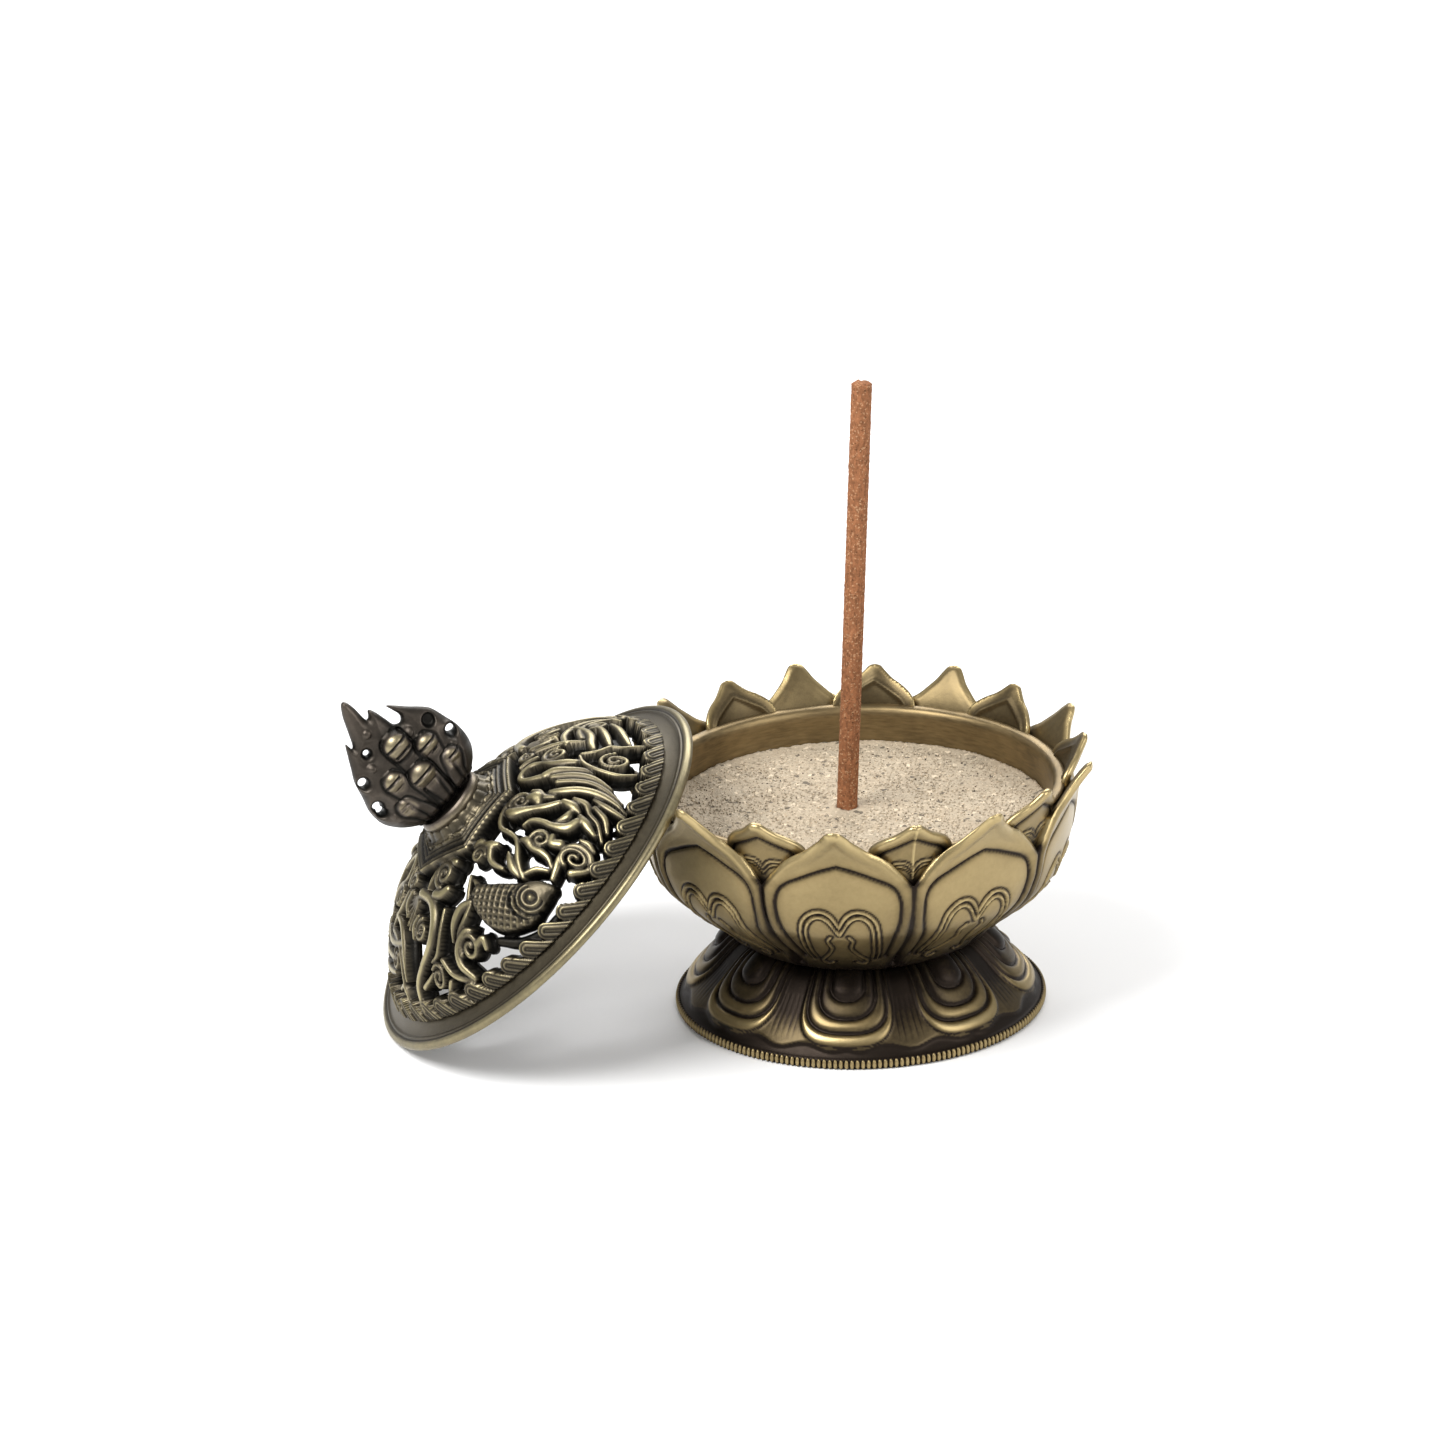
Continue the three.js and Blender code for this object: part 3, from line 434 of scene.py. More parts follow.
def blurred(values, weight, radius, wrap):
    """Weighted box blur of a lattice, twice; columns may wrap round."""
    total, share = values * weight, weight.astype(float)
    for _ in range(2):
        for axis in (0, 1):
            if axis == 1 and wrap:
                mode = "wrap"
            else:
                mode = "edge"
            pads = [(0, 0), (0, 0)]
            pads[axis] = (radius + 1, radius)
            out = []
            for lattice in (total, share):
                run = np.cumsum(np.pad(lattice, pads, mode=mode), axis=axis)
                size = lattice.shape[axis]
                high = np.take(run, np.arange(2 * radius + 1, 2 * radius + 1 + size), axis=axis)
                low = np.take(run, np.arange(0, size), axis=axis)
                out.append((high - low) / (2 * radius + 1))
            total, share = out
    return total / np.maximum(share, 1e-6)


def wear_of(height, weight, radius, gain, wrap=False):
    """How rubbed each place is, from 0 in a hollow to 1 on a ridge."""
    return np.clip(0.5 + (height - blurred(height, weight, radius, wrap)) * gain, 0, 1)


def mesh_object(name, points, faces, wear=None):
    """A smooth-shaded object from points in metres, with its faces turned outwards."""
    mesh = bpy.data.meshes.new(name)
    mesh.from_pydata(np.asarray(points, float).tolist(), [], faces)
    if wear is not None:
        mesh.attributes.new("wear", "FLOAT", "POINT").data.foreach_set("value", np.asarray(wear, np.float32))
    made = bpy.data.objects.new(name, mesh)
    bpy.context.scene.collection.objects.link(made)
    work = bmesh.new()
    work.from_mesh(mesh)
    bmesh.ops.remove_doubles(work, verts=work.verts, dist=1e-7)
    bmesh.ops.recalc_face_normals(work, faces=work.faces)
    work.to_mesh(mesh)
    work.free()
    mesh.polygons.foreach_set("use_smooth", [True] * len(mesh.polygons))
    mesh.update()
    return made


def sheet_parts(front, back, keep, wrap=False, back_rows=None):
    """Points and faces of a closed skin: a front and a back lattice of points and the cells that are kept."""
    rows, cols = front.shape[:2]
    index = np.arange(rows * cols).reshape(rows, cols)
    right = np.roll(index, -1, axis=1) if wrap else index[:, 1:]
    left = index if wrap else index[:, :-1]
    quads = np.stack([left[:-1], right[:-1], right[1:], left[1:]], -1)[keep]
    back_rows = np.arange(rows) if back_rows is None else np.asarray(back_rows)
    under = []
    for a, b in zip(back_rows[:-1], back_rows[1:]):
        solid = keep[a:b].all(axis=0)
        under.append(np.stack([left[b], right[b], right[a], left[a]], -1)[solid] + rows * cols)
    edges = np.concatenate([quads[:, [k, (k + 1) % 4]] for k in range(4)])
    key = np.sort(edges, axis=1) @ np.array([rows * cols, 1])
    _, first, count = np.unique(key, return_index=True, return_counts=True)
    edge = edges[first[count == 1]]
    walls = np.stack([edge[:, 1], edge[:, 0], edge[:, 0] + rows * cols, edge[:, 1] + rows * cols], -1)
    faces = np.concatenate([quads, *under, walls])
    used, compact = np.unique(faces, return_inverse=True)
    points = np.concatenate([front.reshape(-1, 3), back.reshape(-1, 3)])[used]
    return points, compact.reshape(faces.shape).tolist(), used


def edge_points(keep, wrap):
    """True at the lattice points on the border of the kept cells."""
    rows, cols = keep.shape
    padded = np.zeros((rows + 2, cols + 2), bool)
    padded[1:-1, 1:-1] = keep
    if wrap:
        padded[1:-1, 0], padded[1:-1, -1] = keep[:, -1], keep[:, 0]
    around = padded[:-1, :-1].astype(int) + padded[1:, :-1] + padded[:-1, 1:] + padded[1:, 1:]
    border = (around > 0) & (around < 4)
    if wrap:
        border = border[:, :-1]
        border[0] = border[-1] = False
    return border


def pulled_to_edge(x, y, field, border, reach, rounds=3):
    """Moves the border points of a lattice onto the line where field(x, y) is zero."""
    x, y = x.copy(), y.copy()
    bx, by = x[border], y[border]
    home_x, home_y = bx.copy(), by.copy()
    d = 0.02
    for _ in range(rounds):
        f = field(bx, by)
        gx = (field(bx + d, by) - f) / d
        gy = (field(bx, by + d) - f) / d
        size = np.maximum(gx * gx + gy * gy, 0.25)
        bx = np.clip(bx - f * gx / size, home_x - reach, home_x + reach)
        by = np.clip(by - f * gy / size, home_y - reach, home_y + reach)
    x[border], y[border] = bx, by
    return x, y


def lathe_parts(profile, segments):
    """Points and faces turned round the Z axis from a closed list of [radius, height]."""
    p = np.array(profile, float)
    angle = np.linspace(0, TAU, segments, endpoint=False)
    rows = np.stack([
        np.stack([r * np.sin(angle), -r * np.cos(angle), np.full(segments, z)], -1) for r, z in p])
    count = len(p)
    faces = []
    for i in range(count):
        j = (i + 1) % count
        if p[i, 0] == 0 and p[j, 0] == 0:
            continue
        for k in range(segments):
            m = (k + 1) % segments
            faces.append((i * segments + k, i * segments + m, j * segments + m, j * segments + k))
    return rows.reshape(-1, 3), faces


def lathe(name, profile, segments, middle, rounding=3):
    """A turned object with its axis through `middle`, an (x, y) in metres."""
    curve = along(smoothed(profile, closed=False, steps=rounding), 0.3) if rounding > 1 else profile
    points, faces = lathe_parts(curve, segments)
    made = mesh_object(name, points * MM + np.array([*middle, 0]), faces)
    work = bmesh.new()
    work.from_mesh(made.data)
    bmesh.ops.dissolve_degenerate(work, dist=1e-7, edges=work.edges)
    work.to_mesh(made.data)
    work.free()
    return made


def middle_of(node):
    """The (x, y) of the middle of a CAD node's box, in metres."""
    low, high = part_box(node)
    return ((low.x + high.x) / 2, (low.y + high.y) / 2)


# ------------------------------------------------------------------ materials

class Value:
    """A number socket; arithmetic on it adds Math nodes."""

    def __init__(self, paint, socket):
        self.paint = paint
        self.socket = socket

    def math(self, operation, a, b=None):
        values = {0: a} if b is None else {0: a, 1: b}
        return self.paint.node("ShaderNodeMath", {"operation": operation}, values, 0)

    def __add__(self, other):
        return self.math("ADD", self, other)

    __radd__ = __add__

    def __sub__(self, other):
        return self.math("SUBTRACT", self, other)

    def __rsub__(self, other):
        return self.math("SUBTRACT", other, self)

    def __mul__(self, other):
        return self.math("MULTIPLY", self, other)

    __rmul__ = __mul__

    def held(self):
        """The value kept between 0 and 1."""
        return self.paint.node("ShaderNodeClamp", {}, {"Value": self}, 0)


class Paint:
    """One material under construction."""

    def __init__(self, name):
        self.material = bpy.data.materials.new(name)
        self.material.use_nodes = True
        self.tree = self.material.node_tree
        self.shader = self.tree.nodes["Principled BSDF"]

    def node(self, kind, settings, values, output):
        """Adds a node, with its settings first, then its sockets; returns one of its outputs."""
        made = self.tree.nodes.new(kind)
        for key, value in settings.items():
            if key == "stops":
                ramp = made.color_ramp
                while len(ramp.elements) < len(value):
                    ramp.elements.new(0.5)
                for element, (place, colour) in zip(ramp.elements, value):
                    element.position = place
                    element.color = (*colour, 1) if hasattr(colour, "__len__") else (colour,) * 3 + (1,)
            else:
                setattr(made, key, value)
        for key, value in values.items():
            if isinstance(value, Value):
                self.tree.links.new(value.socket, made.inputs[key])
            else:
                made.inputs[key].default_value = value
        return Value(self, made.outputs[output])

    def place(self):
        return self.node("ShaderNodeTexCoord", {}, {}, "Object")

    def attribute(self, name):
        return self.node("ShaderNodeAttribute", {"attribute_name": name}, {}, "Fac")

    def noise(self, size, detail=3.0, rough=0.5, place=None):
        """Noise from 0 to 1 whose features are about `size` millimetres across."""
        values = {
            "Vector": place or self.place(), "Scale": 1 / (size * MM), "Detail": detail, "Roughness": rough}
        return self.node("ShaderNodeTexNoise", {}, values, "Fac")

    def stretched(self, scale):
        return self.node("ShaderNodeMapping", {}, {"Vector": self.place(), "Scale": scale}, 0)

    def cells(self, size, output="Distance"):
        return self.node(
            "ShaderNodeTexVoronoi", {}, {"Vector": self.place(), "Scale": 1 / (size * MM)}, output)

    def ramp(self, factor, stops):
        return self.node("ShaderNodeValToRGB", {"stops": stops}, {"Fac": factor}, "Color")

    def level(self, factor, low, high):
        """The factor rescaled so that low becomes 0 and high becomes 1."""
        values = {"Value": factor, "From Min": low, "From Max": high}
        return self.node("ShaderNodeMapRange", {"clamp": True}, values, 0)

    def mix(self, factor, a, b):
        made = self.tree.nodes.new("ShaderNodeMix")
        made.data_type = "RGBA"
        for key, value in ((0, factor), (6, a), (7, b)):
            if isinstance(value, Value):
                self.tree.links.new(value.socket, made.inputs[key])
            elif key == 0:
                made.inputs[key].default_value = value
            else:
                made.inputs[key].default_value = (*value, 1)
        return Value(self, made.outputs[2])

    def bump(self, height, strength, depth):
        values = {"Height": height, "Strength": strength, "Distance": depth * MM}
        return self.node("ShaderNodeBump", {}, values, 0)

    def finish(self, **sockets):
        """Sets the shader's sockets; names have underscores for spaces."""
        for key, value in sockets.items():
            socket = self.shader.inputs[key.replace("_", " ").title().replace("Ior", "IOR")]
            if isinstance(value, Value):
                self.tree.links.new(value.socket, socket)
            else:
                socket.default_value = value
        return self.material


def patinated(name, low, mid, high, base_rough=0.36):
    """Cast metal: dark patina in the hollows and rubbed metal on the high places, with painted shade and
    painted highlights where the per-point attribute carries them.
    """
    paint = Paint(name)
    wear = paint.attribute("wear")
    cloud = paint.noise(7.0, 4.0)
    grime = paint.noise(0.9, 4.0, 0.6)
    worn_and_shaded = (wear + (cloud - 0.5) * 0.16 + (grime - 0.5) * 0.16).held()
    between = tuple((m * 0.4 + l * 0.6) for m, l in zip(mid, low))
    colour = paint.ramp(worn_and_shaded, [(0.06, low), (0.3, between), (0.52, mid), (0.88, high)])
    rough = paint.level(worn_and_shaded, 0.1, 0.9) * -0.14 + (base_rough + 0.1) + (grime - 0.5) * 0.14
    fine = paint.noise(0.22, 3.0, 0.6)
    return paint.finish(
        base_color=colour, roughness=rough.held(), metallic=0.88,
        normal=paint.bump(fine + cloud * 2.0, 0.35, 0.05), specular_ior_level=0.5)


def liner_brass(colour):
    paint = Paint("spun_brass")
    lines = paint.noise(1.0, 3.0, 0.5, paint.stretched((0.4, 0.4, 2.5)))
    cloud = paint.noise(9.0, 3.0)
    high = tuple(min(1, c * 1.45) for c in colour)
    low = tuple(c * 0.55 for c in colour)
    shade = paint.ramp((lines * 0.5 + cloud * 0.5).held(), [(0.3, low), (0.5, tuple(colour)), (0.72, high)])
    return paint.finish(
        base_color=shade, metallic=0.85, roughness=paint.level(lines, 0.0, 1.0) * 0.15 + 0.34,
        normal=paint.bump(lines, 0.4, 0.06))


def sand_paint(colour):
    paint = Paint("packed_sand")
    tone = paint.cells(0.42, "Color")
    pick = paint.node("ShaderNodeSeparateColor", {}, {"Color": tone}, 0)
    second = paint.node("ShaderNodeSeparateColor", {}, {"Color": tone}, 1)
    c = np.array(colour)
    grains = paint.ramp(pick, [
        (0.0, tuple(c * 0.6)), (0.03, tuple(c * 0.8)), (0.08, tuple(c * 0.92)), (0.5, tuple(c)),
        (0.9, tuple(c * 1.12)), (0.97, tuple(np.minimum(c * 1.35, 1)))])
    coarse = paint.node("ShaderNodeSeparateColor", {}, {"Color": paint.cells(0.75, "Color")}, 2)
    patch = paint.noise(5.0, 4.0)
    warm = paint.mix(paint.level(patch, 0.35, 0.65) * 0.35, grains, tuple(c * (0.92, 0.84, 0.76)))
    warm = paint.mix(paint.level(coarse, 0.03, 0.02) * 0.85, warm, tuple(c * 0.22))
    warm = paint.mix(paint.level(coarse, 0.965, 0.975) * 0.7, warm, tuple(np.minimum(c * 1.8, 1)))
    bumps = paint.cells(0.42)
    return paint.finish(
        base_color=warm, roughness=0.95 - second * 0.25, metallic=0.0,
        normal=paint.bump(1 - bumps, 0.8, 0.16), specular_ior_level=0.25)


def grain_paint(colour):
    paint = Paint("loose_sand")
    tone = paint.attribute("tone")
    c = np.array(colour)
    shade = paint.ramp(tone, [
        (0.0, tuple(c * 0.08)), (0.03, tuple(c * (0.3, 0.26, 0.22))), (0.045, tuple(c * 0.9)),
        (0.55, tuple(c)),
        (0.85, tuple(c * 1.15)), (0.93, tuple(np.minimum(c * 1.65, 1)))])
    return paint.finish(
        base_color=shade, roughness=0.8 - tone * 0.35, metallic=0.0,
        normal=paint.bump(paint.noise(0.15), 0.3, 0.03))


def incense_paint(colour):
    paint = Paint("pressed_incense")
    c = np.array(colour)
    fibre = paint.noise(0.5, 5.0, 0.7, paint.stretched((1.0, 1.0, 0.45)))
    specks = paint.node(
        "ShaderNodeSeparateColor", {}, {"Color": paint.cells(0.26, "Color")}, 0)
    base = paint.ramp(fibre, [(0.3, tuple(c * 0.5)), (0.5, tuple(c)), (0.7, tuple(np.minimum(c * 1.45, 1)))])
    flecked = paint.mix(paint.level(specks, 0.86, 0.94) * 0.5, base, (0.6, 0.36, 0.2))
    dark = paint.mix(paint.level(specks, 0.06, 0.02) * 0.6, flecked, tuple(c * 0.25))
    return paint.finish(
        base_color=dark, roughness=0.92, metallic=0.0, specular_ior_level=0.2,
        normal=paint.bump(fibre + paint.cells(0.3) * 0.6, 0.9, 0.14))


def steel_paint():
    paint = Paint("plated_steel")
    scuff = paint.noise(0.8, 5.0, 0.6)
    shade = paint.ramp(scuff, [(0.3, (0.32, 0.32, 0.31)), (0.6, (0.6, 0.59, 0.57))])
    return paint.finish(
        base_color=shade, metallic=1.0, roughness=scuff * 0.2 + 0.28, normal=paint.bump(scuff, 0.2, 0.02))


def floor_paint():
    paint = Paint("studio_floor")
    dust = paint.noise(400.0, 2.0)
    shade = paint.ramp(dust, [(0.0, (0.86, 0.86, 0.86)), (1.0, (0.9, 0.9, 0.9))])
    return paint.finish(base_color=shade, roughness=0.9, metallic=0.0, specular_ior_level=0.1)


def palette():
    return bpy.context.scene.burner_colours


def cast_finish(name, low, mid, high, rough):
    """The patinated metal of that name, made once."""
    found = bpy.data.materials.get(name)
    return found or patinated(name, low[:], mid[:], high[:], rough)


def brass():
    c = palette()
    return cast_finish("cast_brass", c.brass_low, c.brass_mid, c.brass_high, 0.34)


def bronze():
    c = palette()
    return cast_finish("cast_bronze", c.lid_low, c.lid_mid, c.lid_high, 0.36)


def finial_metal():
    c = palette()
    return cast_finish("cast_finial", c.lid_low, c.finial_mid, c.finial_high, 0.36)


def settle(piece, body, slot, material, *nodes):
    """Gives a finished piece its material and its body, and hides the nodes that it stands for; the slot is not
    used.
    """
    piece.data.materials.clear()
    piece.data.materials.append(material)
    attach(piece, body)
    if nodes:
        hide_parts(*nodes)


# ------------------------------------------------------------------ bowl

def profile_frame(profile, row):
    """Radius, height, outward normal and length along an evenly spaced profile."""
    line = along(smoothed(profile, steps=6), row)
    step = np.gradient(line, axis=0)
    step /= np.hypot(*step.T)[:, None]
    normal = np.column_stack([step[:, 1], -step[:, 0]])
    length = np.concatenate([[0], np.cumsum(np.hypot(*np.diff(line, axis=0).T))])
    return line, normal, length


def unrolled(points, line, length):
    """[degrees, height] points on a profile as [distance round, distance up]."""
    p = np.array(points, float)
    radius = np.interp(p[:, 1], line[:, 1], line[:, 0])
    return np.column_stack([np.radians(p[:, 0]) * radius, np.interp(p[:, 1], line[:, 1], length)])


def fold(line, x, y):
    """Distance to a line drawn for one half, and to its mirror image."""
    return distance_to(line, np.abs(x), y)


def ridge(distance, width):
    return np.exp(-((distance / width) ** 2))


def round_points(radius, angle, height):
    """Points round the Z axis; angle 0 is the front and grows towards +X."""
    return np.stack([radius * np.sin(angle), -radius * np.cos(angle), height + 0 * angle], -1)


def inked(distance, width, halo=0.0):
    """How dark a sunk line is drawn, with the grime that spreads beside it."""
    return -0.74 * ridge(distance, width) - halo * ridge(distance, width * 4)


def petal_relief(x, y, lines, groove, raised, free):
    """Height and shade of the drawing on one outer petal at unrolled x, y; free marks its open edge."""
    edge, sunk, outer, inner, curl = lines
    e = fold(edge, x, y)
    g = fold(sunk, x, y)
    within = np.clip((np.interp(y, sunk[::-1, 1], sunk[::-1, 0], right=0) - np.abs(x)) / 0.3, 0, 1)
    height = -0.6 * ridge(e, 0.5) + 0.2 * np.sin(np.clip(e / 2.4, 0, 1) * math.pi)
    height = height - groove * ridge(g, 0.3) + within * 0.22 * (1 - ridge(g, 1.6))
    a, b, c = fold(outer, x, y), fold(inner, x, y), fold(curl, x, y)
    height = height + raised * (ridge(a, 0.24) + 0.9 * ridge(b, 0.22) + 0.8 * ridge(c, 0.22))
    height = height - 0.22 * (ridge(a - 0.5, 0.24) + ridge(b - 0.45, 0.22) + ridge(c - 0.42, 0.2))
    shade = inked(g, 0.23, 0.2) + (1 - free) * inked(e, 0.3, 0.32) + free * 0.3 * ridge(e, 0.4)
    shade = shade + 0.3 * (ridge(a, 0.2) + ridge(b, 0.2) + ridge(c, 0.18))
    near = np.minimum(np.minimum(np.abs(a - 0.5), np.abs(b - 0.47)), np.abs(c - 0.4))
    return height, shade + inked(near, 0.17, 0.04)


def outer_bowl(sizes, first, last):
    """The shell, its floor and the outer petals from `first` to `last`, as one closed skin."""
    line, normal, length = profile_frame(BOWL_SIDE, ROW)
    per = 92
    petals = last - first
    pitch = TAU / PETALS
    local = np.linspace(-pitch / 2, pitch / 2, per + 1)[:-1]
    local = np.append(np.tile(local, petals), pitch / 2)
    middle = np.append(np.repeat(np.arange(first, last), per), last - 1) * pitch + math.radians(PETAL_TURN)
    local, middle = local[None, :], middle[None, :]
    edge = smoothed(unrolled(PETAL_EDGE, line, length), steps=4)
    lines = [edge] + [
        smoothed(unrolled(part, line, length), steps=4)
        for part in (PETAL_LINE, HEART_OUTER, HEART_INNER, CURL)]
    x = local * line[:, 0][:, None]
    y = np.repeat(length[:, None], local.shape[1], axis=1)
    above = np.interp(35.0, line[:, 1], length)

    def field(px, py):
        reach = np.interp(py, edge[::-1, 1], edge[::-1, 0], right=-1)
        signed = np.where(np.abs(px) < reach, 1, -1) * fold(edge, px, py)
        return np.where(py < above, 1.0, signed)

    inside = field(x, y)
    keep = (inside[:-1, :-1] + inside[1:, :-1] + inside[:-1, 1:] + inside[1:, 1:]) > 0
    border = edge_points(keep, wrap=False) & (y > above)
    px, py = pulled_to_edge(x, y, field, border, ROW)
    radius = np.interp(py, length, line[:, 0])
    height = np.interp(py, length, line[:, 1])
    free = np.clip((height - 35.4) / 1.2, 0, 1)
    drawn, shade = petal_relief(px, py, lines, sizes.groove_depth / MM, sizes.ridge_height / MM, free)
    turn = px / radius
    belly = 0.15 * np.cos(turn / pitch * TAU)
    belly = belly * np.clip((height - 15) / 8, 0, 1) * np.clip((48 - height) / 6, 0, 1)
    nr, nz = np.interp(py, length, normal[:, 0]), np.interp(py, length, normal[:, 1])
    flash = ridge(turn + middle - math.radians(13.35), 0.006) * (height < 36) * (height > 17)
    lift = drawn + belly + flash * 0.25
    flat = np.cos(turn) ** (-0.65 * np.clip((height - 17) / 14, 0, 1))
    out_r, out_z = radius * flat + nr * lift, height + nz * lift
    front = round_points(out_r, turn + middle, out_z)
    lip = CROWN_WALL * (1 - 0.5 * ridge(fold(edge, px, py), 0.6) * free)
    back_r, back_z = out_r - nr * (lip + lift * 0.7), out_z - nz * (lip + lift * 0.7)
    wall = smoothed(BOWL_INSIDE, steps=3)
    wall_length = np.concatenate([[0], np.cumsum(np.hypot(*np.diff(wall, axis=0).T))])
    ledge_row = int(np.searchsorted(line[:, 1], LEDGE - 0.2))
    share = np.linspace(0, wall_length[-1], ledge_row)
    back_r[:ledge_row] = np.interp(share, wall_length, wall[:, 0])[:, None]
    back_z[:ledge_row] = np.interp(share, wall_length, wall[:, 1])[:, None]
    back = round_points(back_r, turn + middle, back_z)
    base = np.stack([round_points(r, (turn + middle)[0], np.float64(z)) for r, z in BOWL_UNDERSIDE])
    floor = np.stack([
        round_points(BOWL_HOLE + 0.02 * k, (turn + middle)[0], np.float64(BOWL_INSIDE[0][1]))
        for k in range(len(base))])
    front, back = np.concatenate([base, front]), np.concatenate([floor, back])
    keep = np.concatenate([np.ones((len(base), keep.shape[1]), bool), keep])
    sparse = [0] + list(range(len(base), ledge_row + len(base) - 4, 10))
    dense = list(range(ledge_row + len(base) - 1, len(front)))
    points, faces, used = sheet_parts(front, back, keep, False, sparse + dense)
    warm = 0.53 + 0.1 * np.clip((height - 24) / 8, 0, 1) + 0.1 * np.clip((height - 41) / 5, 0, 1)
    # Darker low down, where the bowl turns under: painted shade.
    painted_low_shade = 0.42 * np.clip((19.5 - height) / 4, 0, 1)
    worn_and_shaded = np.clip(warm + shade - painted_low_shade + 0.25 * flash, 0, 1)
    # The underside and the inner floor get one dark value: painted shade under the bowl and under the liner.
    under = np.full(base.shape[:2], 0.2)
    inner = 0.36 + 0.4 * ridge(fold(edge, px, py), 0.7) * free
    both = np.concatenate([under, worn_and_shaded, under, inner]).reshape(-1)[used]
    return points, faces, both


def inner_petals(sizes):
    """The inner row of petals, each a curled leaf with its own line and mark."""
    line, normal, length = profile_frame(INNER_SIDE, 0.34)
    edge = smoothed(unrolled(INNER_EDGE, line, length), steps=4)
    sunk = smoothed(unrolled(INNER_LINE, line, length), steps=4)
    mark = smoothed(unrolled(INNER_MARK, line, length), steps=4)
    second = mark - (0, 0.75)
    half = math.radians(12.6)
    local = np.linspace(-half, half, 51)
    x = local[None, :] * line[:, 0][:, None]
    y = np.repeat(length[:, None], len(local), axis=1)

    def field(px, py):
        reach = np.interp(py, edge[::-1, 1], edge[::-1, 0], right=-1)
        return np.where(np.abs(px) < reach, 1, -1) * fold(edge, px, py)

    inside = field(x, y)
    keep = (inside[:-1, :-1] + inside[1:, :-1] + inside[:-1, 1:] + inside[1:, 1:]) > 0
    border = edge_points(keep, wrap=False)
    border[0] = False
    px, py = pulled_to_edge(x, y, field, border, 0.34)
    radius = np.interp(py, length, line[:, 0])
    height = np.interp(py, length, line[:, 1])
    nr, nz = np.interp(py, length, normal[:, 0]), np.interp(py, length, normal[:, 1])
    e = fold(edge, px, py)
    g, m, n = fold(sunk, px, py), fold(mark, px, py), fold(second, px, py)
    lift = -0.35 * ridge(e, 0.4) + 0.12 * np.sin(np.clip(e / 1.6, 0, 1) * math.pi)
    lift = lift - sizes.groove_depth / MM * ridge(g, 0.28)
    lift = lift + sizes.ridge_height / MM * (ridge(m, 0.22) + 0.9 * ridge(n, 0.2))
    turn = px / radius
    curl = 0.9 * (turn / math.radians(11.2)) ** 2
    pieces_points, pieces_faces, pieces_wear_and_shading = [], [], []
    near = np.minimum(np.abs(m - 0.42), np.abs(n - 0.4))
    worn_and_shaded = 0.5 + inked(g, 0.24, 0.16) + 0.25 * (ridge(m, 0.2) + ridge(n, 0.2)) + inked(near, 0.16)
    worn_and_shaded = worn_and_shaded + 0.3 * ridge(e, 0.4) + np.clip((height - 40) / 5, 0, 1) * 0.12
    # Darker low down, where they sink between the outer petals: painted shade.
    worn_and_shaded = np.clip(worn_and_shaded - 0.5 * np.clip((37.4 - height) / 2, 0, 1), 0, 1)
    for k in range(PETALS):
        middle = math.radians(PETAL_TURN) + (k + 0.5) * TAU / PETALS
        seam = 0.32 * ridge(px, 0.16) * (height > 36) * (k == 0)
        out_r = radius + nr * (lift + seam) - curl
        out_z = height + nz * (lift + seam)
        thick = 1.3 * (1 - 0.45 * ridge(e, 0.45))
        front = round_points(out_r, turn + middle, out_z)
        back = round_points(out_r - nr * thick, turn + middle, out_z - nz * thick)
        points, faces, used = sheet_parts(front, back, keep)
        start = sum(len(p) for p in pieces_points)
        pieces_faces += [[i + start for i in face] for face in faces]
        pieces_points.append(points)
        shade = np.clip(worn_and_shaded + seam * 1.2, 0, 1)
        pieces_wear_and_shading.append(np.concatenate([shade, 0.27 + 0.42 * ridge(e, 0.6)]).reshape(-1)[used])
    return np.vstack(pieces_points), pieces_faces, np.concatenate(pieces_wear_and_shading)


class BURNER_OT_bowl(bpy.types.Operator):
    """Cast the bowl with its two rows of petals"""

    bl_idname = "burner.bowl"
    bl_label = "Bowl"

    def execute(self, context):
        sizes = context.scene.burner_sizes
        shift = np.array([*middle_of("liner_cup"), 0])
        made = [("lotus_bowl_inner_petals", inner_petals(sizes))]
        for first in range(0, PETALS, 3):
            made.append((f"lotus_bowl_petals_{first + 1}", outer_bowl(sizes, first, first + 3)))
        for name, (points, faces, wear) in made:
            piece = mesh_object(name, points * MM + shift, faces, wear)
            settle(piece, "burner", "antique_brass", brass(), "lotus_bowl")
        return {"FINISHED"}


# ------------------------------------------------------------------ foot

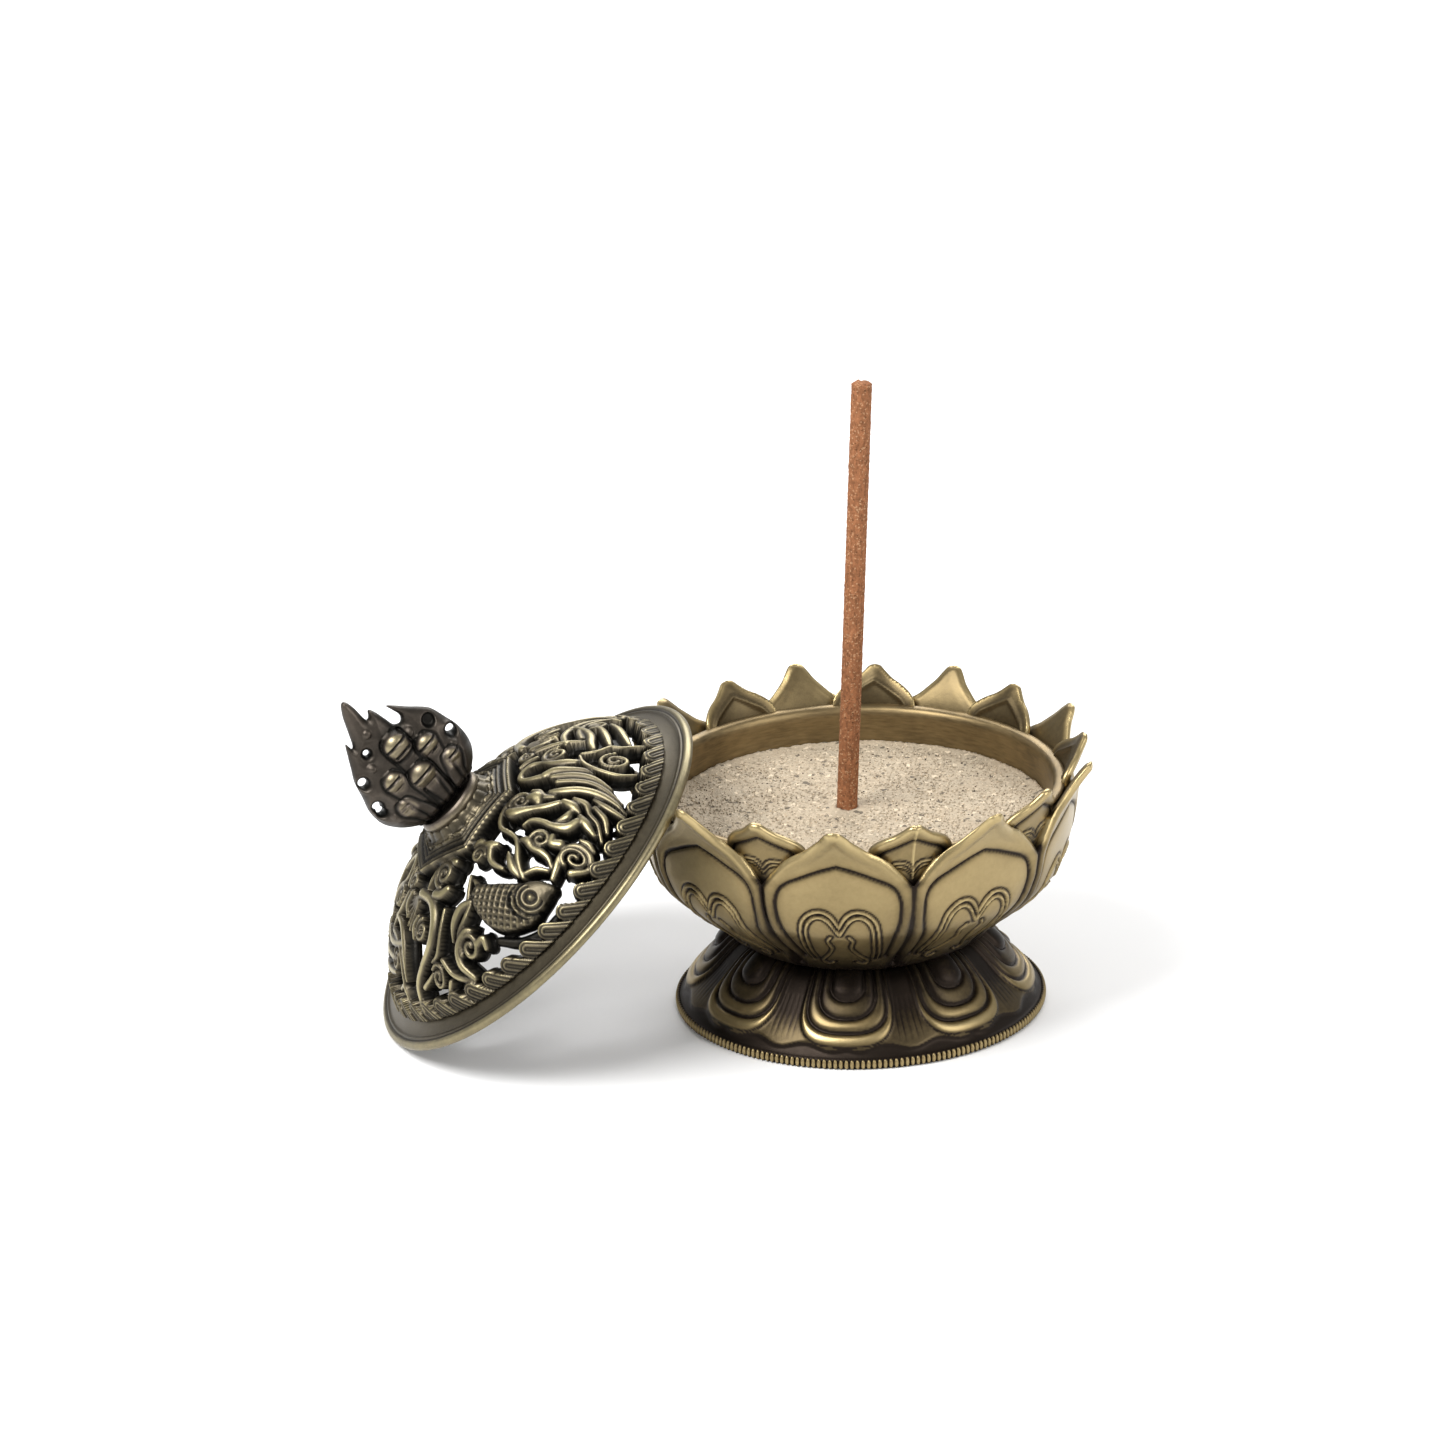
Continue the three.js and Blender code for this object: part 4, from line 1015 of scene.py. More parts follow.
def foot_relief(turn, radius):
    """Height and shade of the petals on the foot, at an angle from a petal's middle and a radius."""
    level = []
    for middle, half, reach, square, _ in FOOT_RINGS:
        side = np.abs(turn) / math.radians(half)
        out = np.clip((radius - middle) / reach, 0, None)
        level.append((side**square + out**square) ** (1 / square))
    height, shade = np.zeros_like(radius), np.zeros_like(radius)
    for ring, value in enumerate(level):
        within = value < 1
        share = np.clip(value, 0, 1) * 0.5 + 0.5
        amount = 0.9
        if ring:
            within &= level[ring - 1] >= 1
            share = np.clip((level[ring - 1] - 1) / np.maximum(level[ring - 1] - value, 1e-3), 0, 1)
            amount = 0.45
        pillow = np.sin(share * math.pi)
        height = np.where(within, FOOT_RINGS[ring][4] + amount * np.sqrt(np.clip(pillow, 0, 1)), height)
        shade = np.where(within, (0.36 + 0.05 * ring) * np.clip(pillow, 0, 1) - 0.12, shade)
    for ring, value in enumerate(level):
        size = FOOT_RINGS[ring][2] + 2
        line = (value - 1) * size
        height = height - ridge(line, 0.26) * (0.5 if ring < 3 else 0.1)
        shade = shade + inked(line - (0.12 if ring == 3 else 0), 0.26)
    beyond = level[-1] >= 1
    between = np.abs(turn) - math.pi / FOOT_PETALS
    grooves = ridge(np.sin(between * math.pi / 0.036), 0.3) * ridge(between, 0.07)
    ribs = -grooves * np.clip((29.3 - radius) / 1.5, 0, 1) * (radius > 23.5)
    leaf_end = np.clip((29.9 + 0.4 * np.cos(between * 20) - radius) / 0.4, 0, 1)
    height = np.where(beyond, 0.55 * leaf_end + 0.2 * ribs, height)
    rim_line = 0.22 * ridge(leaf_end - 0.9, 0.4) * leaf_end
    shade = np.where(beyond, -0.32 + 0.3 * ribs - 0.3 * (1 - leaf_end) + rim_line, shade)
    fade = np.clip((radius - 17.8) / 1.6, 0, 1) * np.clip((31.2 - radius) / 0.5, 0, 1)
    return height * fade, shade * fade


class BURNER_OT_foot(bpy.types.Operator):
    """Cast the petalled foot"""

    bl_idname = "burner.foot"
    bl_label = "Foot"

    def execute(self, context):
        line, normal, _ = profile_frame(FOOT_SLOPE, 0.25)
        top = np.array([(BOWL_HOLE, 13.2), (9.0, 13.2), (17.2, 13.2)])
        line = np.vstack([top, line])
        normal = np.vstack([[(0, 1)] * len(top), -normal])
        per = 92
        count = per * FOOT_PETALS
        pitch = TAU / FOOT_PETALS
        local = np.tile((np.arange(per) + 0.5) / per * pitch - pitch / 2, FOOT_PETALS)[None, :]
        middle = np.repeat(np.arange(FOOT_PETALS) * pitch + math.radians(FOOT_PETAL_TURN), per)[None, :]
        radius = np.repeat(line[:, :1], count, axis=1)
        lift, shade = foot_relief(local + 0 * radius, radius)
        grid = np.arange(len(line))
        lift = lift * 0.4 + blurred(lift, np.ones_like(lift), 1, True) * 0.6
        front = round_points(
            radius + normal[:, :1] * lift, local + middle, line[:, 1:] + normal[:, 1:] * lift)
        inside = smoothed(FOOT_INSIDE, steps=3)
        inner_length = np.concatenate([[0], np.cumsum(np.hypot(*np.diff(inside, axis=0).T))])
        share = grid / grid[-1] * inner_length[-1]
        back = round_points(
            np.repeat(np.interp(share, inner_length, inside[:, 0])[:, None], count, axis=1), local + middle,
            np.repeat(np.interp(share, inner_length, inside[:, 1])[:, None], count, axis=1))
        keep = np.ones((len(line) - 1, count), bool)
        back_rows = sorted(set(list(range(0, len(line), 8)) + [len(line) - 1]))
        points, faces, used = sheet_parts(front, back, keep, True, back_rows)
        # Darker towards the middle, under the bowl: painted shadow of the bowl, with the patina there.
        outward = np.clip((radius - 23.4) / 5.2, 0, 1)
        edge_dark = 0.3 * np.clip((radius - 30.2) / 0.8, 0, 1)
        worn_and_shaded = np.clip(0.02 + 0.33 * outward + shade * (0.3 + 0.85 * outward) - edge_dark, 0, 1)
        both = np.concatenate([worn_and_shaded, np.full_like(worn_and_shaded, 0.35)]).reshape(-1)[used]
        shift = np.array([*middle_of("foot"), 0])
        piece = mesh_object("foot_casting", points * MM + shift, faces, both)
        settle(piece, "burner", "antique_brass", brass(), "foot")
        return {"FINISHED"}


def input_socket(tree, name, kind, value):
    """A named input of a node group."""
    made = tree.interface.new_socket(name, in_out="INPUT", socket_type=kind)
    if value is not None:
        made.default_value = value
    return made


def new_tree(name):
    tree = bpy.data.node_groups.new(name, "GeometryNodeTree")
    tree.is_modifier = True
    tree.interface.new_socket("Geometry", in_out="INPUT", socket_type="NodeSocketGeometry")
    tree.interface.new_socket("Geometry", in_out="OUTPUT", socket_type="NodeSocketGeometry")
    return tree, tree.nodes.new("NodeGroupInput"), tree.nodes.new("NodeGroupOutput")


def baked_out(name, carrier, tree, settings):
    """Runs a node tree on a carrier object and returns its result as a plain mesh object."""
    modifier = carrier.modifiers.new("build", "NODES")
    modifier.node_group = tree
    sockets = {s.name: s.identifier for s in tree.interface.items_tree if getattr(s, "in_out", "") == "INPUT"}
    for key, value in settings.items():
        modifier[sockets[key]] = value
    context = bpy.context.evaluated_depsgraph_get()
    mesh = bpy.data.meshes.new_from_object(carrier.evaluated_get(context))
    carrier.modifiers.remove(modifier)
    mesh.name = name
    made = bpy.data.objects.new(name, mesh)
    bpy.context.scene.collection.objects.link(made)
    return made


def chain(tree, source, target, output=0, socket=0):
    tree.links.new(source.outputs[output], target.inputs[socket])
    return target


class BURNER_OT_beads(bpy.types.Operator):
    """Set the beads round the edge of the foot"""

    bl_idname = "burner.beads"
    bl_label = "Edge beads"

    def execute(self, context):
        sizes = context.scene.burner_sizes
        tree, start, end = new_tree("edge_beads")
        input_socket(tree, "Count", "NodeSocketInt", sizes.bead_count)
        input_socket(tree, "Ring Radius", "NodeSocketFloat", BEAD_RING * MM)
        input_socket(tree, "Bead Radius", "NodeSocketFloat", sizes.bead_radius)
        input_socket(tree, "Finish", "NodeSocketMaterial", None)
        ring = tree.nodes.new("GeometryNodeMeshCircle")
        tree.links.new(start.outputs["Count"], ring.inputs["Vertices"])
        tree.links.new(start.outputs["Ring Radius"], ring.inputs["Radius"])
        bead = tree.nodes.new("GeometryNodeMeshUVSphere")
        bead.inputs["Segments"].default_value = 8
        bead.inputs["Rings"].default_value = 6
        tree.links.new(start.outputs["Bead Radius"], bead.inputs["Radius"])
        spread = tree.nodes.new("GeometryNodeInstanceOnPoints")
        chain(tree, ring, spread, 0, "Points")
        chain(tree, bead, spread, 0, "Instance")
        place = tree.nodes.new("GeometryNodeInputPosition")
        align = tree.nodes.new("FunctionNodeAlignRotationToVector")
        align.axis = "X"
        tree.links.new(place.outputs[0], align.inputs["Vector"])
        tree.links.new(align.outputs[0], spread.inputs["Rotation"])
        spread.inputs["Scale"].default_value = (1.0, 0.88, 1.8)
        shade = tree.nodes.new("GeometryNodeSetShadeSmooth")
        real = chain(tree, spread, tree.nodes.new("GeometryNodeRealizeInstances"))
        chain(tree, real, shade)
        finish = chain(tree, shade, tree.nodes.new("GeometryNodeSetMaterial"))
        tree.links.new(start.outputs["Finish"], finish.inputs["Material"])
        chain(tree, finish, end)
        carrier = bpy.data.objects.new("bead_carrier", bpy.data.meshes.new("bead_carrier"))
        context.scene.collection.objects.link(carrier)
        settings = {
            "Count": sizes.bead_count, "Ring Radius": BEAD_RING * MM, "Bead Radius": sizes.bead_radius,
            "Finish": brass(),
        }
        piece = baked_out("foot_beads", carrier, tree, settings)
        bpy.data.objects.remove(carrier)
        x, y = middle_of("foot")
        piece.data.transform(Matrix.Translation((x, y, BEAD_HEIGHT * MM)))
        co = np.zeros(len(piece.data.vertices) * 3, np.float32)
        piece.data.vertices.foreach_get("co", co)
        co = co.reshape(-1, 3)
        out = np.hypot(co[:, 0] - x, co[:, 1] - y)
        wear = 0.12 + np.clip((out - 31.55 * MM) / (0.35 * MM), 0, 1) * 0.62
        piece.data.attributes.new("wear", "FLOAT", "POINT").data.foreach_set("value", wear.astype(np.float32))
        settle(piece, "burner", "antique_brass", brass())
        return {"FINISHED"}


# ------------------------------------------------------------------ liner, sand and stick

class BURNER_OT_liner(bpy.types.Operator):
    """Spin the liner cup"""

    bl_idname = "burner.liner"
    bl_label = "Liner cup"

    def execute(self, context):
        piece = lathe("liner_pressing", LINER_PROFILE, 192, middle_of("liner_cup"), 4)
        settle(piece, "burner", "inner_brass", liner_brass(palette().liner[:]), "liner_cup")
        return {"FINISHED"}


def sand_height(x, y, seed):
    """A gently uneven surface, in millimetres above its mean."""
    rng = np.random.default_rng(seed)
    total = np.zeros_like(x)
    for size, amount in ((14.0, 0.1), (6.0, 0.06), (2.2, 0.05), (1.0, 0.04)):
        for _ in range(5):
            a, p = rng.uniform(0, TAU, 2)
            total += amount * 0.45 * np.sin((x * math.cos(a) + y * math.sin(a)) * TAU / size + p)
    return total + rng.normal(0, 0.035, x.shape)


class BURNER_OT_sand(bpy.types.Operator):
    """Fill the cup with sand and scatter loose grains on it"""

    bl_idname = "burner.sand"
    bl_label = "Sand"

    def execute(self, context):
        sizes = context.scene.burner_sizes
        middle = middle_of("liner_cup")
        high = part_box("sand_bed")[1]
        top = high.z / MM
        foot = stick_axis_at(high.z)
        hole = ((foot.x - middle[0]) / MM, (foot.y - middle[1]) / MM)
        step = 0.36
        rim = SAND_RADIUS
        side = np.arange(-rim - step, rim + 2 * step, step)
        x, y = np.meshgrid(side, side)

        def field(px, py):
            return np.minimum(rim - np.hypot(px, py), np.hypot(px - hole[0], py - hole[1]) - 1.85)

        inside = field(x, y)
        keep = (inside[:-1, :-1] + inside[1:, :-1] + inside[:-1, 1:] + inside[1:, 1:]) > 0
        px, py = pulled_to_edge(x, y, field, edge_points(keep, False), step)
        away = np.hypot(px, py)
        near = np.hypot(px - hole[0], py - hole[1])
        rise = sand_height(px, py, sizes.seed) + 0.35 * np.exp(-((near - 1.8) / 1.6) ** 2)
        rise = rise + 0.25 * np.clip((away - 31) / 2, 0, 1)
        front = np.stack([px, py, top + rise], -1)
        floor = np.interp(away, *SAND_FLOOR)
        back = np.stack([px, py, floor], -1)
        points, faces, _ = sheet_parts(front, back, keep)
        shift = np.array([*middle, 0])
        bed = mesh_object("sand_fill", points * MM + shift, faces)
        settle(bed, "burner", "sand", sand_paint(palette().sand[:]), "sand_bed")
        self.scatter(context, middle, top, hole, sizes)
        return {"FINISHED"}

    def scatter(self, context, middle, top, hole, sizes):
        """Loose grains on the surface, from a node tree."""
        step = 1.2
        side = np.arange(-32.4, 32.5, step)
        x, y = np.meshgrid(side, side)
        near = np.hypot(x - hole[0], y - hole[1])
        ok = (np.hypot(x, y) < 32.4) & (near > 2.6)
        keep = ok[:-1, :-1] & ok[1:, :-1] & ok[:-1, 1:] & ok[1:, 1:]
        z = top + sand_height(x, y, sizes.seed) * 0.5 + 0.08
        index = np.arange(x.size).reshape(x.shape)
        quads = np.stack([index[:-1, :-1], index[:-1, 1:], index[1:, 1:], index[1:, :-1]], -1)[keep]
        mesh = bpy.data.meshes.new("grain_carrier")
        mesh.from_pydata((np.stack([x, y, z], -1).reshape(-1, 3) * MM).tolist(), [], quads.tolist())
        carrier = bpy.data.objects.new("grain_carrier", mesh)
        context.scene.collection.objects.link(carrier)
        tree, start, end = new_tree("loose_grains")
        input_socket(tree, "Density", "NodeSocketFloat", 1.0)
        input_socket(tree, "Grain Radius", "NodeSocketFloat", sizes.grain_size)
        input_socket(tree, "Seed", "NodeSocketInt", sizes.seed)
        input_socket(tree, "Finish", "NodeSocketMaterial", None)
        scatter = tree.nodes.new("GeometryNodeDistributePointsOnFaces")
        tree.links.new(start.outputs["Geometry"], scatter.inputs["Mesh"])
        tree.links.new(start.outputs["Density"], scatter.inputs["Density"])
        tree.links.new(start.outputs["Seed"], scatter.inputs["Seed"])
        grain = tree.nodes.new("GeometryNodeMeshIcoSphere")
        grain.inputs["Subdivisions"].default_value = 1
        tree.links.new(start.outputs["Grain Radius"], grain.inputs["Radius"])
        size = tree.nodes.new("FunctionNodeRandomValue")
        size.data_type = "FLOAT_VECTOR"
        size.inputs[0].default_value = (0.4, 0.4, 0.35)
        size.inputs[1].default_value = (1.0, 0.9, 0.8)
        tree.links.new(start.outputs["Seed"], size.inputs["Seed"])
        turn = tree.nodes.new("FunctionNodeRandomValue")
        turn.data_type = "FLOAT_VECTOR"
        turn.inputs[1].default_value = (TAU, TAU, TAU)
        tree.links.new(start.outputs["Seed"], turn.inputs["Seed"])
        spread = tree.nodes.new("GeometryNodeInstanceOnPoints")
        chain(tree, scatter, spread, "Points", "Points")
        chain(tree, grain, spread, 0, "Instance")
        tree.links.new(size.outputs[0], spread.inputs["Scale"])
        tree.links.new(turn.outputs[0], spread.inputs["Rotation"])
        tone = tree.nodes.new("FunctionNodeRandomValue")
        tone.data_type = "FLOAT"
        tree.links.new(start.outputs["Seed"], tone.inputs["Seed"])
        store = tree.nodes.new("GeometryNodeStoreNamedAttribute")
        store.data_type = "FLOAT"
        store.domain = "INSTANCE"
        store.inputs["Name"].default_value = "tone"
        chain(tree, spread, store, 0, "Geometry")
        tree.links.new(tone.outputs[1], store.inputs["Value"])
        real = chain(tree, store, tree.nodes.new("GeometryNodeRealizeInstances"))
        finish = chain(tree, real, tree.nodes.new("GeometryNodeSetMaterial"))
        tree.links.new(start.outputs["Finish"], finish.inputs["Material"])
        chain(tree, finish, end)
        area = len(quads) * (step * MM) ** 2
        settings = {
            "Density": sizes.grain_count / area, "Grain Radius": sizes.grain_size, "Seed": sizes.seed,
            "Finish": grain_paint(palette().sand[:]),
        }
        grains = baked_out("sand_grains", carrier, tree, settings)
        bpy.data.objects.remove(carrier)
        grains.data.transform(Matrix.Translation((*middle, 0)))
        settle(grains, "burner", "sand", bpy.data.materials["loose_sand"])


def stick_lean():
    """The direction of the stick's axis, upwards."""
    return Vector(next(j["axis"] for j in frame["joints"] if j["name"] == "stick_pull"))


def stick_axis_at(height):
    """The point of the stick's axis at a height, in metres."""
    low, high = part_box("incense_stick")
    lean = stick_lean()
    middle = (low + high) / 2
    return middle + lean * ((height - middle.z) / lean.z)


class BURNER_OT_stick(bpy.types.Operator):
    """Press the incense stick"""

    bl_idname = "burner.stick"
    bl_label = "Incense stick"

    def execute(self, context):
        low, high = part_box("incense_stick")
        lean = stick_lean().normalized()
        radius = STICK_RADIUS
        centre = (low + high) / 2
        half = (high.z - low.z) / MM / 2 / lean.z - radius * lean.x * 0.9
        rng = np.random.default_rng(11)
        rings = np.concatenate([[-half, -half], np.linspace(-half + 0.25, half - 0.25, 260), [half, half]])
        scale = np.concatenate([[0.0, 0.8], np.full(260, 1.0), [0.82, 0.0]])
        sides = 36
        angle = np.linspace(0, TAU, sides, endpoint=False)
        rough = rng.normal(0, 0.018, (len(rings), sides))
        rough = rough + 0.03 * np.sin(rings * 0.35)[:, None] * np.cos(angle)[None, :]
        rough[0] = rough[-1] = 0
        r = radius * (scale[:, None] + rough * (scale[:, None] > 0.5))
        tip = rng.normal(0, 0.06, (2, sides))
        along_axis = np.repeat(rings[:, None], sides, axis=1)
        along_axis[-2] += tip[0]
        along_axis[1] += tip[1]
        local = np.stack([r * np.cos(angle), r * np.sin(angle), along_axis], -1).reshape(-1, 3)
        turn = np.array(lean.to_track_quat("Z", "Y").to_matrix())
        points = local @ turn.T * MM + np.array(centre)
        faces = []
        for i in range(len(rings) - 1):
            for k in range(sides):
                m = (k + 1) % sides
                faces.append((i * sides + k, i * sides + m, (i + 1) * sides + m, (i + 1) * sides + k))
        piece = mesh_object("incense_rod", points, faces)
        settle(piece, "stick", "incense", incense_paint(palette().incense[:]), "incense_stick")
        return {"FINISHED"}


# ------------------------------------------------------------------ lid

def lid_frame():
    """The lid's own frame as a matrix from millimetres in it to metres in the row frame."""
    co = np.array([v.co[:] for v in frame["nodes"]["finial_collar"].data.vertices], float)
    co = np.unique(np.round(co, 6), axis=0)
    middle = co.mean(0)
    axis = np.linalg.svd(co - middle)[2][2]
    axis *= np.sign(axis[2])
    tilt, heading = math.acos(axis[2]), math.atan2(axis[1], axis[0])
    turn = (
        Matrix.Rotation(heading, 4, "Z") @ Matrix.Rotation(tilt, 4, "Y")
        @ Matrix.Rotation(math.radians(LID_SPIN), 4, "Z"))
    origin = Vector(middle) - Vector(axis) * LID_COLLAR_HEIGHT * MM
    return Matrix.Translation(origin) @ turn @ Matrix.Scale(MM, 4)


def moved(points, matrix):
    m = np.array(matrix)
    return np.asarray(points) @ m[:3, :3].T + m[:3, 3]


def dome_table():
    """The dome's curve from its crown outwards: length, radius, height and normal."""
    start = math.asin((2.3 + DOME_SINK) / DOME_RISE)
    angle = np.linspace(math.pi / 2, start, 400)
    r, h = DOME_REACH * np.cos(angle), DOME_RISE * np.sin(angle) - DOME_SINK
    length = np.concatenate([[0], np.cumsum(np.hypot(np.diff(r), np.diff(h)))])
    nr, nh = np.cos(angle) / DOME_REACH, np.sin(angle) / DOME_RISE
    size = np.hypot(nr, nh)
    return length, r, h, nr / size, nh / size


DOME = dome_table()


def flat_from_plan(points):
    """Plan positions on the lid, with the dome rolled out flat."""
    p = np.array(points, float)
    radius = np.hypot(p[:, 0], p[:, 1])
    stretch = np.interp(radius, DOME[1], DOME[0]) / np.maximum(radius, 1e-9)
    p[:, 0] *= stretch
    p[:, 1] *= stretch
    return p


class Relief:
    """Cast strokes laid over each other: where they are, and how high they stand."""

    def __init__(self, x, y):
        self.x, self.y = x, y
        self.inside = np.full(x.shape, -9.0)
        self.height = np.full(x.shape, -9.0)
        self.shade = np.zeros(x.shape)

    def near(self, samples, margin):
        low, high = samples.min(0), samples.max(0)
        r = samples[:, 2].max() + margin
        return (
            (self.x > low[0] - r) & (self.x < high[0] + r) & (self.y > low[1] - r) & (self.y < high[1] + r))

    def stroke(self, samples, base, bulge=0.75):
        where = self.near(samples, 1.2)
        if not where.any():
            return
        x, y = self.x[where], self.y[where]
        best, size = np.full(x.shape, -9.0), np.ones(x.shape)
        for px, py, r in samples:
            value = r - np.hypot(x - px, y - py)
            better = value > best
            best[better] = value[better]
            size[better] = r
        share = np.clip(best / size, 0, 1)
        height = base + bulge * size**0.7 * np.sqrt(1 - (1 - share) ** 2)
        height = np.where(best > 0, height, -9.0)
        over = height > self.height[where]
        shade = np.clip(share * 1.5, 0, 1) ** 0.8 * np.clip(0.5 + size * 0.35, 0, 1)
        self.inside[where] = np.maximum(self.inside[where], best)
        self.height[where] = np.where(over, height, self.height[where])
        self.shade[where] = np.where(over, shade, self.shade[where])
        return where, best, size


def spiral(x, y, radius, start, turns):
    """A stroke that winds inwards, its coils touching."""
    count = 40
    t = np.linspace(0, 1, count)
    pitch = (radius - 0.35) / (abs(turns) + 0.5)
    r = radius - pitch * 0.5 - t * (radius - 0.35 - pitch * 0.5)
    angle = math.radians(start) + t * turns * TAU
    width = pitch * (0.56 - 0.08 * t)
    width[-1] = max(0.5, width[-1])
    return np.column_stack([x + r * np.cos(angle), y + r * np.sin(angle), width])


def turned_copy(samples):
    return samples * (-1, -1, 1)


def lid_fields(x, y):
    """Where the lid is solid, how high its relief stands and how light each place is drawn, rolled out flat."""
    rho = np.hypot(x, y)
    azimuth = np.arctan2(x, -y)
    relief = Relief(x, y)
    laid = [(flat_from_plan(along(smoothed(s, steps=5), 0.25)) * (1, 1, STROKE_SPREAD), 0.15) for s in STROKES]
    laid += [(flat_from_plan(spiral(*s)), 0.3) for s in SCROLLS]
    for samples, base in laid:
        for copy in (samples, turned_copy(samples)):
            relief.stroke(copy, base)
    for copy in (1, -1):
        body = flat_from_plan(along(smoothed(CARP_BODY, steps=6), 0.3)) * (copy, copy, 1)
        head = flat_from_plan(along(smoothed(CARP_HEAD, steps=6), 0.3)) * (copy, copy, 1)
        eye = flat_from_plan([(*CARP_EYE, 0)])[0] * copy
        found = relief.stroke(body, 0.25, 0.42)
        if found is not None:
            where, inside, _ = found
            u = (x[where] + y[where] * 0.55) * 5.2
            v = (x[where] * 0.55 - y[where]) * 4.6
            scale = 0.2 * np.maximum(np.sin(u), np.sin(v)) * (inside > 0.35)
            relief.height[where] += np.where(inside > 0, scale, 0)
            tint = 0.28 * np.clip(inside, 0, 1) + 0.12 + scale * 1.5
            relief.shade[where] = np.where(inside > 0, tint, relief.shade[where])
        found = relief.stroke(head, 0.45, 0.45)
        if found is not None:
            where, inside, _ = found
            d = np.hypot(x[where] - eye[0], y[where] - eye[1])
            lines = 0.25 * ridge(d, 0.4) - 0.42 * ridge(d - 0.9, 0.18)
            behind = (x[where] - eye[0]) * copy < 1.0
            for radius in CARP_GILLS:
                lines = lines - (0.42 * ridge(d - radius, 0.2) - 0.15 * ridge(d - radius + 0.4, 0.2)) * behind
            relief.height[where] += np.where(inside > 0, lines, 0)
            tint = 0.42 * np.clip(inside, 0, 1) + 0.12 + lines * 1.3
            relief.shade[where] = np.where(inside > 0, tint, relief.shade[where])
    cut = Relief(x, y)
    for shape in OPENINGS:
        samples = flat_from_plan(along(smoothed(shape, steps=5), 0.25)) + (0, 0, 0.15)
        for copy in (samples, turned_copy(samples)):
            cut.stroke(copy, 0)
    backing = Relief(x, y)
    for shape in PLATES:
        samples = flat_from_plan(along(smoothed(shape, steps=5), 0.25))
        for copy in (samples, turned_copy(samples)):
            backing.stroke(copy, 0)
    gap = np.minimum(-relief.inside - 0.55, 1.0)
    holes = np.minimum(np.maximum(cut.inside, gap), -backing.inside)
    # lobes like small waves round the rim
    edge = DOME[0][-1]
    inward = edge - rho
    around = azimuth * DOME_RADIUS
    lobe_pitch = TAU * DOME_RADIUS / 44
    u = (around + 1.11 * inward + 400 * lobe_pitch) % lobe_pitch - lobe_pitch / 2
    across = u * 0.669
    up = 1.494 * inward - 0.743 * u
    end = np.clip(up - 3.1, 0, None)
    lobe = 1.58 - np.hypot(across, end)
    nested = np.cos(lobe * TAU / 0.68 + 3.6)
    lobe_height = np.where(
        lobe > 0, 0.45 + 0.12 * nested + 0.45 * np.sqrt(np.clip(lobe, 0, 0.5) / 0.5) + 0.1 * across, -9.0)
    lobe_shade = np.clip(lobe / 0.3, 0, 1) * (0.42 + 0.4 * nested) + 0.1 * np.clip(across, -1, 1)
    # the six-sided collar
    flat = math.radians(HEX_TURN + 30)
    six = np.max([
        x * math.sin(flat + k * math.pi / 3) - y * math.cos(flat + k * math.pi / 3) for k in range(6)], axis=0)
    collar = np.clip((HEX_FLAT - six) / 0.3, 0, 1) * 1.25
    for place, size in ((10.55, 0.2), (9.8, 0.2), (8.5, 0.18), (7.7, 0.18), (6.95, 0.16)):
        collar = collar + 0.34 * ridge(six - place, size) * (six < HEX_FLAT)
    speckle = 0.1 * np.sin(x * 9.0) * np.sin(y * 9.0) * (six < 9.4) * (six > 8.9)
    speckle = speckle + 0.12 * np.sin(x * 7.0 + 1) * np.sin(y * 7.0) * (six < 7.6) * (six > 7.0)
    boss_petals = 0.4 * np.abs(np.cos(azimuth * 9)) ** 0.5 * np.clip((8.3 - rho) / 0.7, 0, 1)
    boss = np.clip((7.0 - rho) / 1.0, 0, 1) * 1.3 + boss_petals * (rho > 5)
    collar = np.where(six < HEX_FLAT, collar + speckle + boss, -9.0)
    plate = -1.0 + 0.3 * np.clip(-holes / 0.8, 0, 1)
    # The sunk plate is painted near black: painted shade in the deep gaps between the strokes, with dark
    # patina.
    height, shade = plate, np.full(x.shape, 0.06)
    collar_shade = 0.12 + 0.62 * np.clip((collar - 1.3) / 0.34, 0, 1) * np.clip((six - 5.5) / 1.5, 0.45, 1)
    for layer, tone in (
            (relief.height, relief.shade), (lobe_height, lobe_shade), (collar, collar_shade)):
        over = layer > height
        height, shade = np.where(over, layer, height), np.where(over, tone, shade)
    solid = np.maximum(relief.inside + 0.05, -holes)
    solid = np.maximum(solid, np.maximum(lobe + 0.15, HEX_FLAT + 0.2 - six))
    solid = np.minimum(np.maximum(solid, 0.7 - inward), edge - rho)
    return solid, height, shade


def dome_points(x, y, lift):
    """Rolled-out places on the dome as points in the lid's frame, lifted along the normal."""
    rho = np.hypot(x, y)
    azimuth = np.arctan2(x, -y)
    r = np.interp(rho, DOME[0], DOME[1])
    h = np.interp(rho, DOME[0], DOME[2])
    nr = np.interp(rho, DOME[0], DOME[3])
    nh = np.interp(rho, DOME[0], DOME[4])
    return round_points(r + nr * lift, azimuth, h + nh * lift)


